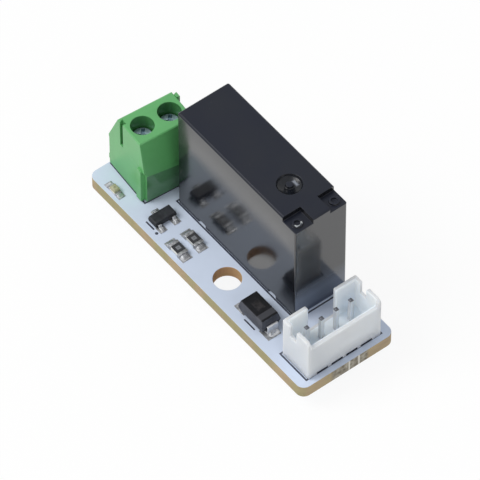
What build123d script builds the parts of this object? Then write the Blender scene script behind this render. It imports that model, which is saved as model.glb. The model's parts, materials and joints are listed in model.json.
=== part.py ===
"""A small relay module: white board, two-way screw terminal, slim relay, four-pin header, chip parts.

All sizes are in millimetres. The origin is the centre of the fixing hole on the board's underside,
+X runs along the board from the terminal block to the header, +Y across it to the relay's side.
"""
from build123d import *
import math
import os

os.makedirs("parts", exist_ok=True)

# Board
board_length = 37.7
board_width = 12.7
board_thickness = 1.6
board_corner = 1.0
fixing_hole_radius = 1.6

# Places of the hole and the small parts, as shares of the board's length from the terminal end,
# and of the free strip beside the relay from the near side
fixing_hole_end_share = 20.8 / 37.7
transistor_end_share = 9.96 / 37.7
resistor_end_share = 14.5 / 37.7
diode_end_share = 27.23 / 37.7
diode_pads_end_share = 27.22 / 37.7
fixing_hole_strip_share = 3.07 / 5.43
transistor_strip_share = 2.57 / 5.43
resistor_strip_shares = (1.25 / 5.43, 3.4 / 5.43)
diode_strip_share = 2.42 / 5.43
diode_pads_strip_share = 2.17 / 5.43

# Copper, solder and print
foil = 0.05
ring_pad_margin = 0.45
lead_tail = 1.8
lead_play = 0.1
joint_height = 0.95
joint_neck = 0.14
joint_rim = 0.36
joint_hollow = 0.08
print_depth = 0.02
print_line = 0.18
print_margin = 0.14
relay_print_gap = 0.28
chip_print_gap = 0.18
diode_print_gap = 0.06
chip_dot_reach = 1.2
chip_dot_drop = 0.1
chip_line_shift = 0.1
chip_print_length = 1.4
diode_print_length = 1.8
sleeve_play = 0.02

# Terminal block
terminal_from_end = 3.91
terminal_from_side = 6.09
terminal_turn = -4.26
terminal_ways = 2
terminal_pitch = 3.5
terminal_depth = 7.0
terminal_height = 9.34
terminal_standoff = 0.18
terminal_foot = 0.8
terminal_back_top = 1.85
terminal_front_top = 6.17
terminal_back_break = 4.97
terminal_front_break = 5.0
terminal_sill_low = 0.9
terminal_sill_high = 1.6
terminal_sill_proud = 0.12
terminal_brow_low = 4.62
terminal_brow_proud = 0.08
terminal_rim = 0.1
screw_axis_from_back = 4.03
screw_well_radius = 1.35
screw_head_radius = 1.25
screw_head_height = 1.1
screw_head_recess = 1.75
screw_head_rim = 0.15
screw_slot_width = 0.45
screw_slot_length = 2.0
screw_slot_depth = 0.55
screw_slot_turn = 52.0
screw_shank_radius = 0.8
screw_thread_play = 0.05
screw_web_play = 0.1
chamber_width = 2.6
chamber_back = 2.72
chamber_front = 5.95
chamber_play = 0.1
wire_entry_low = 1.72
wire_entry_high = 4.4
wire_entry_width = 2.5
wire_entry_lip = 0.25
cage_play = 0.05
cage_low = 0.95
cage_height = 3.2
cage_floor = 0.5
cage_roof = 0.8
cage_cheek = 0.4
cage_travel = 1.1
blade_thickness = 0.5
blade_roof_play = 0.05
blade_width = 1.4
post_thickness = 0.6
post_pin_width = 0.8
dovetail_back = 2.24
dovetail_neck = 0.55
dovetail_flare = 0.12
dovetail_depth = 0.42
dovetail_play = 0.03
dovetail_bottom = 5.44
rib_front = 6.57
rib_width = 0.9
rib_proud = 0.24
rib_head_drop = 0.15
front_step = 0.3

# Relay
relay_from_end = 9.08
relay_side_gap = 0.27
relay_header_gap = 2.92
relay_width = 7.0
relay_height = 15.2
relay_standoff = 0.1
relay_corner = 0.25
relay_top_rim = 0.18
relay_wall = 0.7
relay_roof = 0.8
relay_notch_depth = 0.7
relay_notch_length = 2.25
relay_near_notch = 2.4
relay_far_notch = 2.3
relay_boss_radius = 0.62
relay_boss_bore = 0.34
relay_boss_height = 0.25
relay_boss_inset = 1.0
relay_mark_setback = 5.35
relay_mark_from_side = 3.4
relay_mark_radius = 1.35
relay_mark_depth = 0.3
relay_mark_nib_radius = 0.5
relay_first_foot_notch = 3.6
relay_last_foot_setback = 4.6
relay_foot_notch_length = 1.2
relay_foot_notch_height = 0.4
plug_play = 0.05
plug_low = 0.35
plug_high = 2.2
plug_foot_radius = 0.5
plug_foot_end_inset = 1.5
plug_foot_side_inset = 1.0
yoke_thickness = 1.0
yoke_side_play = 0.5
yoke_gap = 0.1
hinge_setback = 3.3
coil_to_hinge = 3.8
bobbin_length = 6.6
bobbin_side_play = 0.1
bobbin_flange = 0.6
bobbin_wall = 0.45
winding_side_play = 0.1
core_radius = 1.0
pole_radius = 1.9
pole_height = 0.7
pole_gap = 0.35
armature_thickness = 1.0
armature_past_coil = 3.2
armature_seat = 0.02
spring_thickness = 0.2
spring_width = 3.0
spring_end = 3.4
spring_heel_setback = 0.6
rivet_radius = 0.55
rivet_head = 0.25
rivet_head_room = 0.98
far_rivet_to_hinge = 4.6
near_rivet_to_hinge = 1.8
contact_radius = 1.1
contact_height = 0.5
contact_from_end = 4.6
contact_gap = 0.7
arm_thickness = 0.4
arm_width = 3.0
arm_back = 2.6
arm_reach = 6.0
stop_from_end = 6.4
stop_length = 0.9
stop_play = 0.02
coil_pin_size = 0.5
coil_pin_to_coil = 2.8
coil_pin_inset = 0.8
contact_pin_width = 0.8
contact_pin_thickness = 0.4

# Header
header_from_end = 0.7
header_ways = 4
header_pitch = 2.0
header_end_margin = 2.0
header_depth = 4.5
header_height = 6.0
header_front_height = 5.0
header_floor = 1.6
header_end_wall = 0.5
header_long_wall = 0.6
header_corner = 0.2
header_back_opening = 3.8
header_slot_back = 1.25
header_slot_width = 1.12
header_slot_depth = 1.7
header_front_slope = 0.4
header_relief_width = 1.45
header_relief_height = 0.35
header_relief_depth = 1.0
header_pin_from_back = 1.7
header_pin_size = 0.5
header_pin_height = 4.94
header_pin_point = 0.14

# Chip parts
transistor_length = 1.45
transistor_width = 2.9
transistor_low = 0.08
transistor_height = 0.82
transistor_draft = 11.0
transistor_leg_pitch = 1.9
transistor_leg_width = 0.42
transistor_leg_sheet = 0.12
transistor_leg_rise = 0.45
transistor_leg_reach = 0.52
transistor_foot = 0.35
transistor_pad_size = 0.95
resistor_length = 2.0
resistor_width = 1.25
resistor_height = 0.5
resistor_cap = 0.4
resistor_skin = 0.03
resistor_pad_length = 1.05
resistor_pad_width = 1.35
resistor_pad_span = 3.4
diode_length = 4.2
diode_width = 2.6
diode_low = 0.12
diode_height = 2.0
diode_parting = 1.15
diode_draft = 13.0
diode_lead_width = 1.4
diode_lead_sheet = 0.2
diode_lead_gap = 0.1
diode_lead_under = 1.0
diode_pad_length = 1.7
diode_pad_width = 1.75
diode_pad_span = 6.05
led_from_end = 3.6
led_from_side = 0.92
led_length = 1.6
led_width = 0.8
led_base = 0.22
led_cap = 0.32
led_lens_length = 0.96
led_lens_height = 0.34
led_lens_rim = 0.12
led_pad_length = 0.8
led_pad_width = 0.95
led_pad_span = 2.7
transistor_solder_width = 0.66
transistor_solder_height = 0.26
resistor_solder_height = 0.38
diode_solder_height = 0.32
solder_hollow = 0.33

top = board_thickness
relay_from_side = board_width - relay_side_gap - relay_width
left_end = -board_length * fixing_hole_end_share
near_side = -relay_from_side * fixing_hole_strip_share


def on_board(x, y):
    """A place on the board, from its terminal end and near long side."""
    return (left_end + x, near_side + y)


def in_strip(end_share, strip_share):
    """A place in the free strip beside the relay, from its shares of the board's length and the strip."""
    return on_board(board_length * end_share, relay_from_side * strip_share)


def finish(piece, name):
    """Names a finished piece and writes it."""
    piece.part.label = name
    export_step(piece.part, f"parts/{name}.step")


# Frames of the three large parts: each starts at its own corner on the board's top
terminal_length = terminal_ways * terminal_pitch
turn = math.radians(terminal_turn)
terminal_x = Vector(math.cos(turn), math.sin(turn), 0)
terminal_y = Vector(-math.sin(turn), math.cos(turn), 0)
terminal_corner = (
    Vector(*on_board(terminal_from_end, terminal_from_side), top)
    - terminal_x * (terminal_depth / 2)
    - terminal_y * (terminal_length / 2)
)
terminal = Plane(origin=terminal_corner, x_dir=terminal_x, z_dir=(0, 0, 1))
way_centres = [(way + 0.5) * terminal_pitch for way in range(terminal_ways)]

relay_length = board_length - relay_from_end - relay_header_gap - header_depth - header_from_end
relay = Plane(origin=(*on_board(relay_from_end, relay_from_side), top), z_dir=(0, 0, 1))
relay_middle = relay_width / 2
cavity_length = relay_length - 2 * relay_wall
cavity_width = relay_width - 2 * relay_wall
hinge_from_end = relay_length - hinge_setback
coil_from_end = hinge_from_end - coil_to_hinge
yoke_width = cavity_width - 2 * yoke_side_play
bobbin_width = cavity_width - 2 * bobbin_side_play
winding_radius = bobbin_width / 2 - winding_side_play

header_length = (header_ways - 1) * header_pitch + 2 * header_end_margin
header_corner_place = on_board(
    board_length - header_from_end - header_depth, (board_width - header_length) / 2
)
header = Plane(origin=(*header_corner_place, top), z_dir=(0, 0, 1))
header_pin_rows = [header_end_margin + way * header_pitch for way in range(header_ways)]


def upright(frame, y):
    """An upright plane along a part's length: sketch x is its X, sketch y is up, at its own y."""
    origin = frame.from_local_coords((0, y, 0))
    return Plane(origin=origin, x_dir=frame.x_dir, z_dir=-frame.y_dir)


def across(frame, x):
    """An upright plane across a part: sketch x is its Y, sketch y is up, at its own x."""
    origin = frame.from_local_coords((x, 0, 0))
    return Plane(origin=origin, x_dir=frame.y_dir, z_dir=frame.x_dir)


# Every lead that goes through the board: place, half width along X, half width along Y, frame turn
pin_front = chamber_front
post_pin_middle = pin_front - post_thickness / 2
post_leads = [
    (terminal.from_local_coords((post_pin_middle, y, 0)), post_thickness, post_pin_width, terminal_turn)
    for y in way_centres
]
coil_pin_from_end = coil_from_end - coil_pin_to_coil
coil_pin_offset = cavity_width / 2 - coil_pin_inset
coil_pin_rows = [relay_middle - coil_pin_offset, relay_middle + coil_pin_offset]
common_pin_from_end = hinge_from_end + yoke_thickness / 2
arm_pin_middle = arm_back + arm_thickness / 2
relay_leads = [
    (relay.from_local_coords((arm_pin_middle, relay_middle, 0)), arm_thickness, contact_pin_width, 0),
    (
        relay.from_local_coords((common_pin_from_end, relay_middle, 0)),
        contact_pin_thickness, contact_pin_width, 0,
    ),
] + [
    (relay.from_local_coords((coil_pin_from_end, y, 0)), coil_pin_size, coil_pin_size, 0)
    for y in coil_pin_rows
]
header_leads = [
    (header.from_local_coords((header_pin_from_back, y, 0)), header_pin_size, header_pin_size, 0)
    for y in header_pin_rows
]
all_leads = post_leads + relay_leads + header_leads


def lead_hole_radius(lead):
    return math.hypot(lead[1], lead[2]) / 2 + lead_play


# Circuit board
with BuildPart() as board:
    with BuildSketch(Plane.XY):
        with Locations(on_board(board_length / 2, board_width / 2)):
            RectangleRounded(board_length, board_width, board_corner)
        Circle(fixing_hole_radius, mode=Mode.SUBTRACT)
        for lead in all_leads:
            with Locations((lead[0].X, lead[0].Y)):
                Circle(lead_hole_radius(lead), mode=Mode.SUBTRACT)
    extrude(amount=board_thickness)
finish(board, "circuit_board")

# Tinned ring pads on the underside, one round each lead
with BuildPart() as rings:
    for lead in all_leads:
        with BuildSketch(Plane.XY.offset(-foil)):
            with Locations((lead[0].X, lead[0].Y)):
                Circle(lead_hole_radius(lead) + ring_pad_margin)
                Circle(lead_hole_radius(lead), mode=Mode.SUBTRACT)
        extrude(amount=foil)
finish(rings, "ring_pads")


# Solder that fills each lead's hole and climbs its tail below the board in a hollow cone
joint_bottom = -foil - joint_height
solder_groups = (
    ("terminal_solder", post_leads),
    ("relay_solder", relay_leads),
    ("header_solder", header_leads),
)
for group_name, leads in solder_groups:
    with BuildPart() as joints:
        for lead in leads:
            lead_axis = Axis((lead[0].X, lead[0].Y, 0), (0, 0, 1))
            hole = lead_hole_radius(lead) - sleeve_play
            rim = lead_hole_radius(lead) + joint_rim
            neck = math.hypot(lead[1], lead[2]) / 2 + joint_neck
            waist = ((neck + rim) / 2 - joint_hollow, joint_bottom / 2)
            with BuildSketch(Plane(origin=lead_axis.position, x_dir=(1, 0, 0), z_dir=(0, -1, 0))):
                with BuildLine():
                    Polyline((0, top), (hole, top), (hole, -foil), (rim, -foil))
                    ThreePointArc((rim, -foil), waist, (neck, joint_bottom))
                    Polyline((neck, joint_bottom), (0, joint_bottom), (0, top))
                make_face()
            revolve(axis=lead_axis)
        for lead in leads:
            lead_base = Plane(origin=(lead[0].X, lead[0].Y, joint_bottom), z_dir=(0, 0, 1))
            with BuildSketch(lead_base.rotated((0, 0, lead[3]))):
                Rectangle(lead[1], lead[2])
            extrude(amount=top - joint_bottom, mode=Mode.SUBTRACT)
    finish(joints, group_name)

# Terminal block housing
chamber_top = cage_low + cage_height + cage_travel + chamber_play
entry_middle = (wire_entry_low + wire_entry_high) / 2
head_top = terminal_height - screw_head_recess
head_seat = head_top - screw_head_height
with BuildPart() as housing:
    with BuildSketch(upright(terminal, 0)):
        with BuildLine():
            Polyline(
                (0, terminal_standoff),
                (terminal_depth, terminal_standoff),
                (terminal_depth, terminal_front_break),
                (terminal_front_top, terminal_height),
                (terminal_back_top, terminal_height),
                (-terminal_brow_proud, terminal_back_break),
                (-terminal_brow_proud, terminal_brow_low),
                (0, terminal_brow_low - terminal_brow_proud),
                (0, terminal_sill_high + terminal_sill_proud),
                (-terminal_sill_proud, terminal_sill_high),
                (-terminal_sill_proud, terminal_sill_low),
                (0, terminal_sill_low - terminal_sill_proud),
                close=True,
            )
        make_face()
    extrude(amount=-terminal_length)
    chamfer(housing.edges().group_by(Axis.Z)[-1], terminal_rim)
    # The near end steps back at the front, and the far end fills the same step of a block beside it
    step_plane = terminal.offset(terminal_standoff)
    step_height = terminal_front_break - terminal_standoff
    step_length = terminal_depth - rib_front
    with BuildSketch(step_plane):
        with Locations((rib_front + step_length / 2, front_step / 2)):
            Rectangle(step_length, front_step)
    extrude(amount=step_height, mode=Mode.SUBTRACT)
    with BuildSketch(step_plane):
        with Locations((rib_front + step_length / 2 + dovetail_play, terminal_length + front_step / 2)):
            Rectangle(step_length - 2 * dovetail_play, front_step)
    extrude(amount=step_height - dovetail_play)
    # Rib on the near end with a round head, and its groove on the far end
    rib_top = terminal_front_break - rib_head_drop
    with BuildSketch(upright(terminal, 0)):
        with Locations((rib_front - rib_width / 2, (terminal_standoff + rib_top) / 2)):
            Rectangle(rib_width, rib_top - terminal_standoff)
        with Locations((rib_front - rib_width / 2, rib_top)):
            Circle(rib_width / 2)
    extrude(amount=rib_proud)
    with BuildSketch(upright(terminal, terminal_length)):
        with Locations((rib_front - rib_width / 2, (terminal_standoff + rib_top) / 2)):
            Rectangle(rib_width + 2 * dovetail_play, rib_top - terminal_standoff)
        with Locations((rib_front - rib_width / 2, rib_top)):
            Circle(rib_width / 2 + dovetail_play)
    extrude(amount=rib_proud + dovetail_play, mode=Mode.SUBTRACT)
    # Dovetail slot on the near end, and the tongue that fits it on the far end
    with BuildSketch(terminal.offset(dovetail_bottom)):
        with BuildLine():
            Polyline(
                (dovetail_back, 0),
                (dovetail_back + dovetail_neck, 0),
                (dovetail_back + dovetail_neck + dovetail_flare, dovetail_depth),
                (dovetail_back - dovetail_flare, dovetail_depth),
                close=True,
            )
        make_face()
    extrude(amount=terminal_height - dovetail_bottom, mode=Mode.SUBTRACT)
    with BuildSketch(terminal.offset(dovetail_bottom + dovetail_play)):
        with BuildLine():
            Polyline(
                (dovetail_back + dovetail_play, terminal_length),
                (dovetail_back + dovetail_neck - dovetail_play, terminal_length),
                (dovetail_back + dovetail_neck + dovetail_flare - dovetail_play,
                 terminal_length + dovetail_depth - dovetail_play),
                (dovetail_back - dovetail_flare + dovetail_play,
                 terminal_length + dovetail_depth - dovetail_play),
                close=True,
            )
        make_face()
    extrude(amount=terminal_height - dovetail_bottom - dovetail_play)
    # Wire entries with a flared mouth, cage chambers open below, screw wells from the top
    for y in way_centres:
        with BuildSketch(across(terminal, -terminal_sill_proud)):
            with Locations((y, entry_middle)):
                Rectangle(wire_entry_width, wire_entry_high - wire_entry_low)
        extrude(amount=chamber_back + terminal_sill_proud, mode=Mode.SUBTRACT)
        with BuildSketch(across(terminal, 0)):
            with Locations((y, entry_middle)):
                Rectangle(
                    wire_entry_width + 2 * wire_entry_lip,
                    wire_entry_high - wire_entry_low + wire_entry_lip,
                )
        extrude(amount=wire_entry_lip, taper=40, mode=Mode.SUBTRACT)
        with BuildSketch(terminal.offset(terminal_standoff)):
            with Locations(((chamber_back + chamber_front) / 2, y)):
                Rectangle(chamber_front - chamber_back, chamber_width)
        extrude(amount=chamber_top - terminal_standoff, mode=Mode.SUBTRACT)
        with BuildSketch(terminal.offset(chamber_top)):
            with Locations((screw_axis_from_back, y)):
                Circle(screw_shank_radius + screw_web_play)
        extrude(amount=head_seat - chamber_top, mode=Mode.SUBTRACT)
        with BuildSketch(terminal.offset(head_seat)):
            with Locations((screw_axis_from_back, y)):
                Circle(screw_well_radius)
        extrude(amount=terminal_height - head_seat, mode=Mode.SUBTRACT)
    # Four feet hold the block off the board
    with BuildSketch(terminal):
        with Locations(
            (terminal_foot, terminal_foot),
            (terminal_foot, terminal_length - terminal_foot),
            (terminal_depth - terminal_foot, terminal_foot),
            (terminal_depth - terminal_foot, terminal_length - terminal_foot),
        ):
            Rectangle(terminal_foot, terminal_foot)
    extrude(amount=terminal_standoff)
finish(housing, "terminal_housing")

# Clamping screws, rising cages and contact posts, one of each to a way
shank_end = cage_low + cage_height - cage_roof
cage_back = screw_axis_from_back - (chamber_front - post_thickness - cage_play - screw_axis_from_back)
cage_front = chamber_front - post_thickness - cage_play
blade_top = cage_low + cage_height - cage_roof - blade_roof_play
for way, y in enumerate(way_centres, start=1):
    with BuildPart() as screw:
        with BuildSketch(terminal.offset(shank_end)):
            with Locations((screw_axis_from_back, y)):
                Circle(screw_shank_radius)
        extrude(amount=head_seat - shank_end)
        with BuildSketch(terminal.offset(head_seat)):
            with Locations((screw_axis_from_back, y)):
                Circle(screw_head_radius)
        extrude(amount=screw_head_height)
        chamfer(screw.edges().group_by(Axis.Z)[-1], screw_head_rim)
        with BuildSketch(terminal.offset(head_top - screw_slot_depth)):
            with Locations((screw_axis_from_back, y)):
                Rectangle(screw_slot_length, screw_slot_width, rotation=screw_slot_turn)
                Rectangle(screw_slot_width, screw_slot_length, rotation=screw_slot_turn)
        extrude(amount=screw_slot_depth, mode=Mode.SUBTRACT)
    finish(screw, f"terminal_screw_{way}")

    with BuildPart() as cage:
        with BuildSketch(terminal.offset(cage_low)):
            with Locations(((cage_back + cage_front) / 2, y)):
                Rectangle(cage_front - cage_back, chamber_width - 2 * cage_play)
        extrude(amount=cage_height)
        with BuildSketch(across(terminal, cage_back)):
            with Locations((y, cage_low + (cage_floor + cage_height - cage_roof) / 2)):
                Rectangle(
                    chamber_width - 2 * cage_play - 2 * cage_cheek,
                    cage_height - cage_roof - cage_floor,
                )
        extrude(amount=cage_front - cage_back, mode=Mode.SUBTRACT)
        with BuildSketch(terminal.offset(cage_low + cage_height - cage_roof)):
            with Locations((screw_axis_from_back, y)):
                Circle(screw_shank_radius + screw_thread_play)
        extrude(amount=cage_roof, mode=Mode.SUBTRACT)
    finish(cage, f"wire_cage_{way}")

    with BuildPart() as post:
        with BuildSketch(upright(terminal, y)):
            with BuildLine():
                Polyline(
                    (cage_back, blade_top),
                    (chamber_front, blade_top),
                    (chamber_front, 0),
                    (chamber_front - post_thickness, 0),
                    (chamber_front - post_thickness, blade_top - blade_thickness),
                    (cage_back, blade_top - blade_thickness),
                    close=True,
                )
            make_face()
        extrude(amount=blade_width / 2, both=True)
        with BuildSketch(terminal.offset(-board_thickness - lead_tail)):
            with Locations((post_pin_middle, y)):
                Rectangle(post_thickness, post_pin_width)
        extrude(amount=board_thickness + lead_tail)
    finish(post, f"contact_post_{way}")

# Relay case, open below, with its moulded mark and two stepped corners on the roof
ceiling = relay_height - relay_roof
stack_base = plug_high + yoke_gap
yoke_top = (
    ceiling - rivet_head_room - rivet_head - spring_thickness - armature_thickness - armature_seat
)
pole_top = yoke_top - pole_gap
winding_height = pole_top - pole_height - 2 * bobbin_flange - yoke_thickness - stack_base
armature_low = yoke_top + armature_seat
armature_high = armature_low + armature_thickness
spring_high = armature_high + spring_thickness
with BuildPart() as case:
    with BuildSketch(relay.offset(relay_standoff)):
        with Locations((relay_length / 2, relay_middle)):
            RectangleRounded(relay_length, relay_width, relay_corner)
    extrude(amount=relay_height - relay_standoff)
    chamfer(case.faces().sort_by(Axis.Z)[-1].edges(), relay_top_rim)
    with BuildSketch(relay.offset(relay_standoff)):
        with Locations((relay_length / 2, relay_middle)):
            Rectangle(cavity_length, cavity_width)
    extrude(amount=ceiling - relay_notch_depth - relay_standoff, mode=Mode.SUBTRACT)
    with BuildSketch(relay.offset(ceiling - relay_notch_depth)):
        with Locations(((relay_length - relay_notch_length) / 2, relay_middle)):
            Rectangle(cavity_length - relay_notch_length, cavity_width)
    extrude(amount=relay_notch_depth, mode=Mode.SUBTRACT)
    notches = [
        (relay_near_notch / 2, relay_near_notch),
        (relay_width - relay_far_notch / 2, relay_far_notch),
    ]
    for notch_middle, notch_width in notches:
        with BuildSketch(relay.offset(relay_height - relay_notch_depth)):
            with Locations((relay_length - relay_notch_length / 2, notch_middle)):
                Rectangle(relay_notch_length, notch_width)
        extrude(amount=relay_notch_depth, mode=Mode.SUBTRACT)
    boss_rows = [relay_boss_inset, relay_width - relay_boss_inset]
    with BuildSketch(relay.offset(relay_height - relay_notch_depth)):
        with Locations(*[(relay_length - relay_boss_inset, row) for row in boss_rows]):
            Circle(relay_boss_radius)
            Circle(relay_boss_bore, mode=Mode.SUBTRACT)
    extrude(amount=relay_boss_height)
    with BuildSketch(relay.offset(relay_height - relay_mark_depth)):
        with Locations((relay_length - relay_mark_setback, relay_mark_from_side)):
            Circle(relay_mark_radius)
            Circle(relay_mark_nib_radius, mode=Mode.SUBTRACT)
    extrude(amount=relay_mark_depth, taper=-20, mode=Mode.SUBTRACT)
    # Small gaps in the foot of the near wall, and a stop that holds the moving spring down
    for gap_start in (relay_first_foot_notch, relay_length - relay_last_foot_setback):
        with BuildSketch(upright(relay, 0)):
            with Locations((gap_start + relay_foot_notch_length / 2, relay_standoff)):
                Rectangle(relay_foot_notch_length, 2 * relay_foot_notch_height)
        extrude(amount=-relay_wall, mode=Mode.SUBTRACT)
    with BuildSketch(relay.offset(spring_high + stop_play)):
        with Locations((stop_from_end + stop_length / 2, relay_middle)):
            Rectangle(stop_length, spring_width)
    extrude(amount=ceiling - spring_high - stop_play)
finish(case, "relay_case")


# Plug that closes the case below and stands on the board on four feet
with BuildPart() as plug:
    with BuildSketch(relay.offset(plug_low)):
        with Locations((relay_length / 2, relay_middle)):
            Rectangle(cavity_length - 2 * plug_play, cavity_width - 2 * plug_play)
    extrude(amount=plug_high - plug_low)
    with BuildSketch(relay):
        with Locations((relay_length / 2, relay_middle)):
            with GridLocations(
                cavity_length - 2 * plug_foot_end_inset, cavity_width - 2 * plug_foot_side_inset, 2, 2
            ):
                Circle(plug_foot_radius)
    extrude(amount=plug_low)
    for lead in relay_leads:
        with BuildSketch(Plane(origin=(lead[0].X, lead[0].Y, top), z_dir=(0, 0, 1))):
            Rectangle(lead[1] + 2 * sleeve_play, lead[2] + 2 * sleeve_play)
        extrude(amount=plug_high, mode=Mode.SUBTRACT)
finish(plug, "relay_plug")

# Coil: bobbin with two flanges, winding, core with its pole face, and the yoke that carries them
bobbin_low = stack_base + yoke_thickness
winding_low = bobbin_low + bobbin_flange
winding_high = winding_low + winding_height
with BuildPart() as bobbin:
    with BuildSketch(relay.offset(bobbin_low), relay.offset(winding_high)):
        with Locations((coil_from_end, relay_middle)):
            Rectangle(bobbin_length, bobbin_width)
    extrude(amount=bobbin_flange)
    with BuildSketch(relay.offset(winding_low)):
        with Locations((coil_from_end, relay_middle)):
            Circle(core_radius + bobbin_wall)
    extrude(amount=winding_height)
    with BuildSketch(relay.offset(bobbin_low)):
        with Locations((coil_from_end, relay_middle)):
            Circle(core_radius + sleeve_play)
    extrude(amount=winding_high + bobbin_flange - bobbin_low, mode=Mode.SUBTRACT)
finish(bobbin, "coil_bobbin")

with BuildPart() as winding:
    with BuildSketch(relay.offset(winding_low)):
        with Locations((coil_from_end, relay_middle)):
            Circle(winding_radius)
            Circle(core_radius + bobbin_wall + sleeve_play, mode=Mode.SUBTRACT)
    extrude(amount=winding_height)
finish(winding, "coil_winding")

with BuildPart() as core:
    with BuildSketch(relay.offset(stack_base)):
        with Locations((coil_from_end, relay_middle)):
            Circle(core_radius)
    extrude(amount=pole_top - pole_height - stack_base)
    with BuildSketch(relay.offset(pole_top - pole_height)):
        with Locations((coil_from_end, relay_middle)):
            Circle(pole_radius)
    extrude(amount=pole_height)
finish(core, "coil_core")

yoke_back = coil_from_end - core_radius - yoke_thickness
with BuildPart() as yoke:
    with BuildSketch(upright(relay, relay_middle)):
        with BuildLine():
            Polyline(
                (yoke_back, stack_base),
                (hinge_from_end + yoke_thickness, stack_base),
                (hinge_from_end + yoke_thickness, yoke_top),
                (hinge_from_end, yoke_top),
                (hinge_from_end, stack_base + yoke_thickness),
                (yoke_back, stack_base + yoke_thickness),
                close=True,
            )
        make_face()
    extrude(amount=yoke_width / 2, both=True)
    with BuildSketch(relay.offset(stack_base)):
        with Locations((coil_from_end, relay_middle)):
            Circle(core_radius + sleeve_play)
    extrude(amount=yoke_thickness, mode=Mode.SUBTRACT)
finish(yoke, "relay_yoke")

# Moving side: armature, its leaf spring, and the moving contact
armature_reach = coil_from_end - armature_past_coil
spring_heel = hinge_from_end - spring_heel_setback
rivet_places = (hinge_from_end - far_rivet_to_hinge, hinge_from_end - near_rivet_to_hinge)
with BuildPart() as armature:
    with BuildSketch(relay.offset(armature_low)):
        with Locations(((armature_reach + hinge_from_end + yoke_thickness) / 2, relay_middle)):
            Rectangle(hinge_from_end + yoke_thickness - armature_reach, yoke_width)
    extrude(amount=armature_thickness)
finish(armature, "relay_armature")

with BuildPart() as leaf:
    with BuildSketch(relay.offset(armature_high)):
        with Locations(((spring_end + spring_heel) / 2, relay_middle)):
            RectangleRounded(spring_heel - spring_end, spring_width, spring_width / 4)
    extrude(amount=spring_thickness)
    with BuildSketch(relay.offset(spring_high)):
        with Locations(*[(place, relay_middle) for place in rivet_places]):
            Circle(rivet_radius)
    extrude(amount=rivet_head)
finish(leaf, "contact_spring")

moving_contact_low = armature_high - contact_height
with BuildPart() as moving_contact:
    with BuildSketch(relay.offset(moving_contact_low)):
        with Locations((contact_from_end, relay_middle)):
            Circle(contact_radius)
    extrude(amount=contact_height)
finish(moving_contact, "moving_contact")

# Fixed side: contact, the arm that carries it down to its pin, coil pins and common pin
fixed_contact_high = moving_contact_low - contact_gap
with BuildPart() as fixed_contact:
    with BuildSketch(relay.offset(fixed_contact_high - contact_height)):
        with Locations((contact_from_end, relay_middle)):
            Circle(contact_radius)
    extrude(amount=contact_height)
finish(fixed_contact, "fixed_contact")

arm_high = fixed_contact_high - contact_height
with BuildPart() as arm:
    with BuildSketch(upright(relay, relay_middle)):
        with BuildLine():
            Polyline(
                (arm_back, plug_high),
                (arm_back + arm_thickness, plug_high),
                (arm_back + arm_thickness, arm_high - arm_thickness),
                (arm_reach, arm_high - arm_thickness),
                (arm_reach, arm_high),
                (arm_back, arm_high),
                close=True,
            )
        make_face()
    extrude(amount=arm_width / 2, both=True)
    with BuildSketch(relay.offset(-board_thickness - lead_tail)):
        with Locations((arm_pin_middle, relay_middle)):
            Rectangle(arm_thickness, contact_pin_width)
    extrude(amount=plug_high + board_thickness + lead_tail)
finish(arm, "contact_arm")

with BuildPart() as common_pin:
    with BuildSketch(relay.offset(-board_thickness - lead_tail)):
        with Locations((common_pin_from_end, relay_middle)):
            Rectangle(contact_pin_thickness, contact_pin_width)
    extrude(amount=stack_base + board_thickness + lead_tail)
finish(common_pin, "common_pin")

for number, row in enumerate(coil_pin_rows, start=1):
    with BuildPart() as coil_pin:
        with BuildSketch(relay.offset(-board_thickness - lead_tail)):
            with Locations((coil_pin_from_end, row)):
                Rectangle(coil_pin_size, coil_pin_size)
        extrude(amount=bobbin_low + board_thickness + lead_tail)
    finish(coil_pin, f"coil_pin_{number}")

# Header housing: an open box with a split back, slotted ends and small reliefs under its front
with BuildPart() as shroud:
    with BuildSketch(header):
        with Locations((header_depth / 2, header_length / 2)):
            RectangleRounded(header_depth, header_length, header_corner)
    extrude(amount=header_height)
    with BuildSketch(header.offset(header_front_height)):
        with Locations((header_depth - header_long_wall / 2, header_length / 2)):
            Rectangle(header_long_wall, header_length - 2 * header_end_wall)
    extrude(amount=header_height - header_front_height, mode=Mode.SUBTRACT)
    with BuildSketch(header.offset(header_floor)):
        with Locations((header_depth / 2, header_length / 2)):
            Rectangle(header_depth - 2 * header_long_wall, header_length - 2 * header_end_wall)
    extrude(amount=header_height - header_floor, mode=Mode.SUBTRACT)
    with BuildSketch(across(header, 0)):
        with Locations((header_length / 2, (header_floor + header_height) / 2)):
            Rectangle(header_back_opening, header_height - header_floor)
    extrude(amount=header_long_wall, mode=Mode.SUBTRACT)
    for start in (0, header_length - header_end_wall):
        with BuildSketch(upright(header, start)):
            with BuildLine():
                Polyline(
                    (header_depth - header_front_slope, header_height),
                    (header_depth, header_height),
                    (header_depth, header_height - header_front_slope),
                    close=True,
                )
            make_face()
            slot_middle = header_slot_back + header_slot_width / 2
            with Locations((slot_middle, header_height - header_slot_depth / 2)):
                Rectangle(header_slot_width, header_slot_depth)
        extrude(amount=-header_end_wall, mode=Mode.SUBTRACT)
    for row in header_pin_rows:
        with BuildSketch(across(header, header_depth - header_relief_depth)):
            with Locations((row, header_relief_height / 2)):
                Rectangle(header_relief_width, header_relief_height)
        extrude(amount=header_relief_depth, mode=Mode.SUBTRACT)
        with BuildSketch(header):
            with Locations((header_pin_from_back, row)):
                Rectangle(header_pin_size, header_pin_size)
        extrude(amount=header_floor, mode=Mode.SUBTRACT)
finish(shroud, "header_housing")

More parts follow.
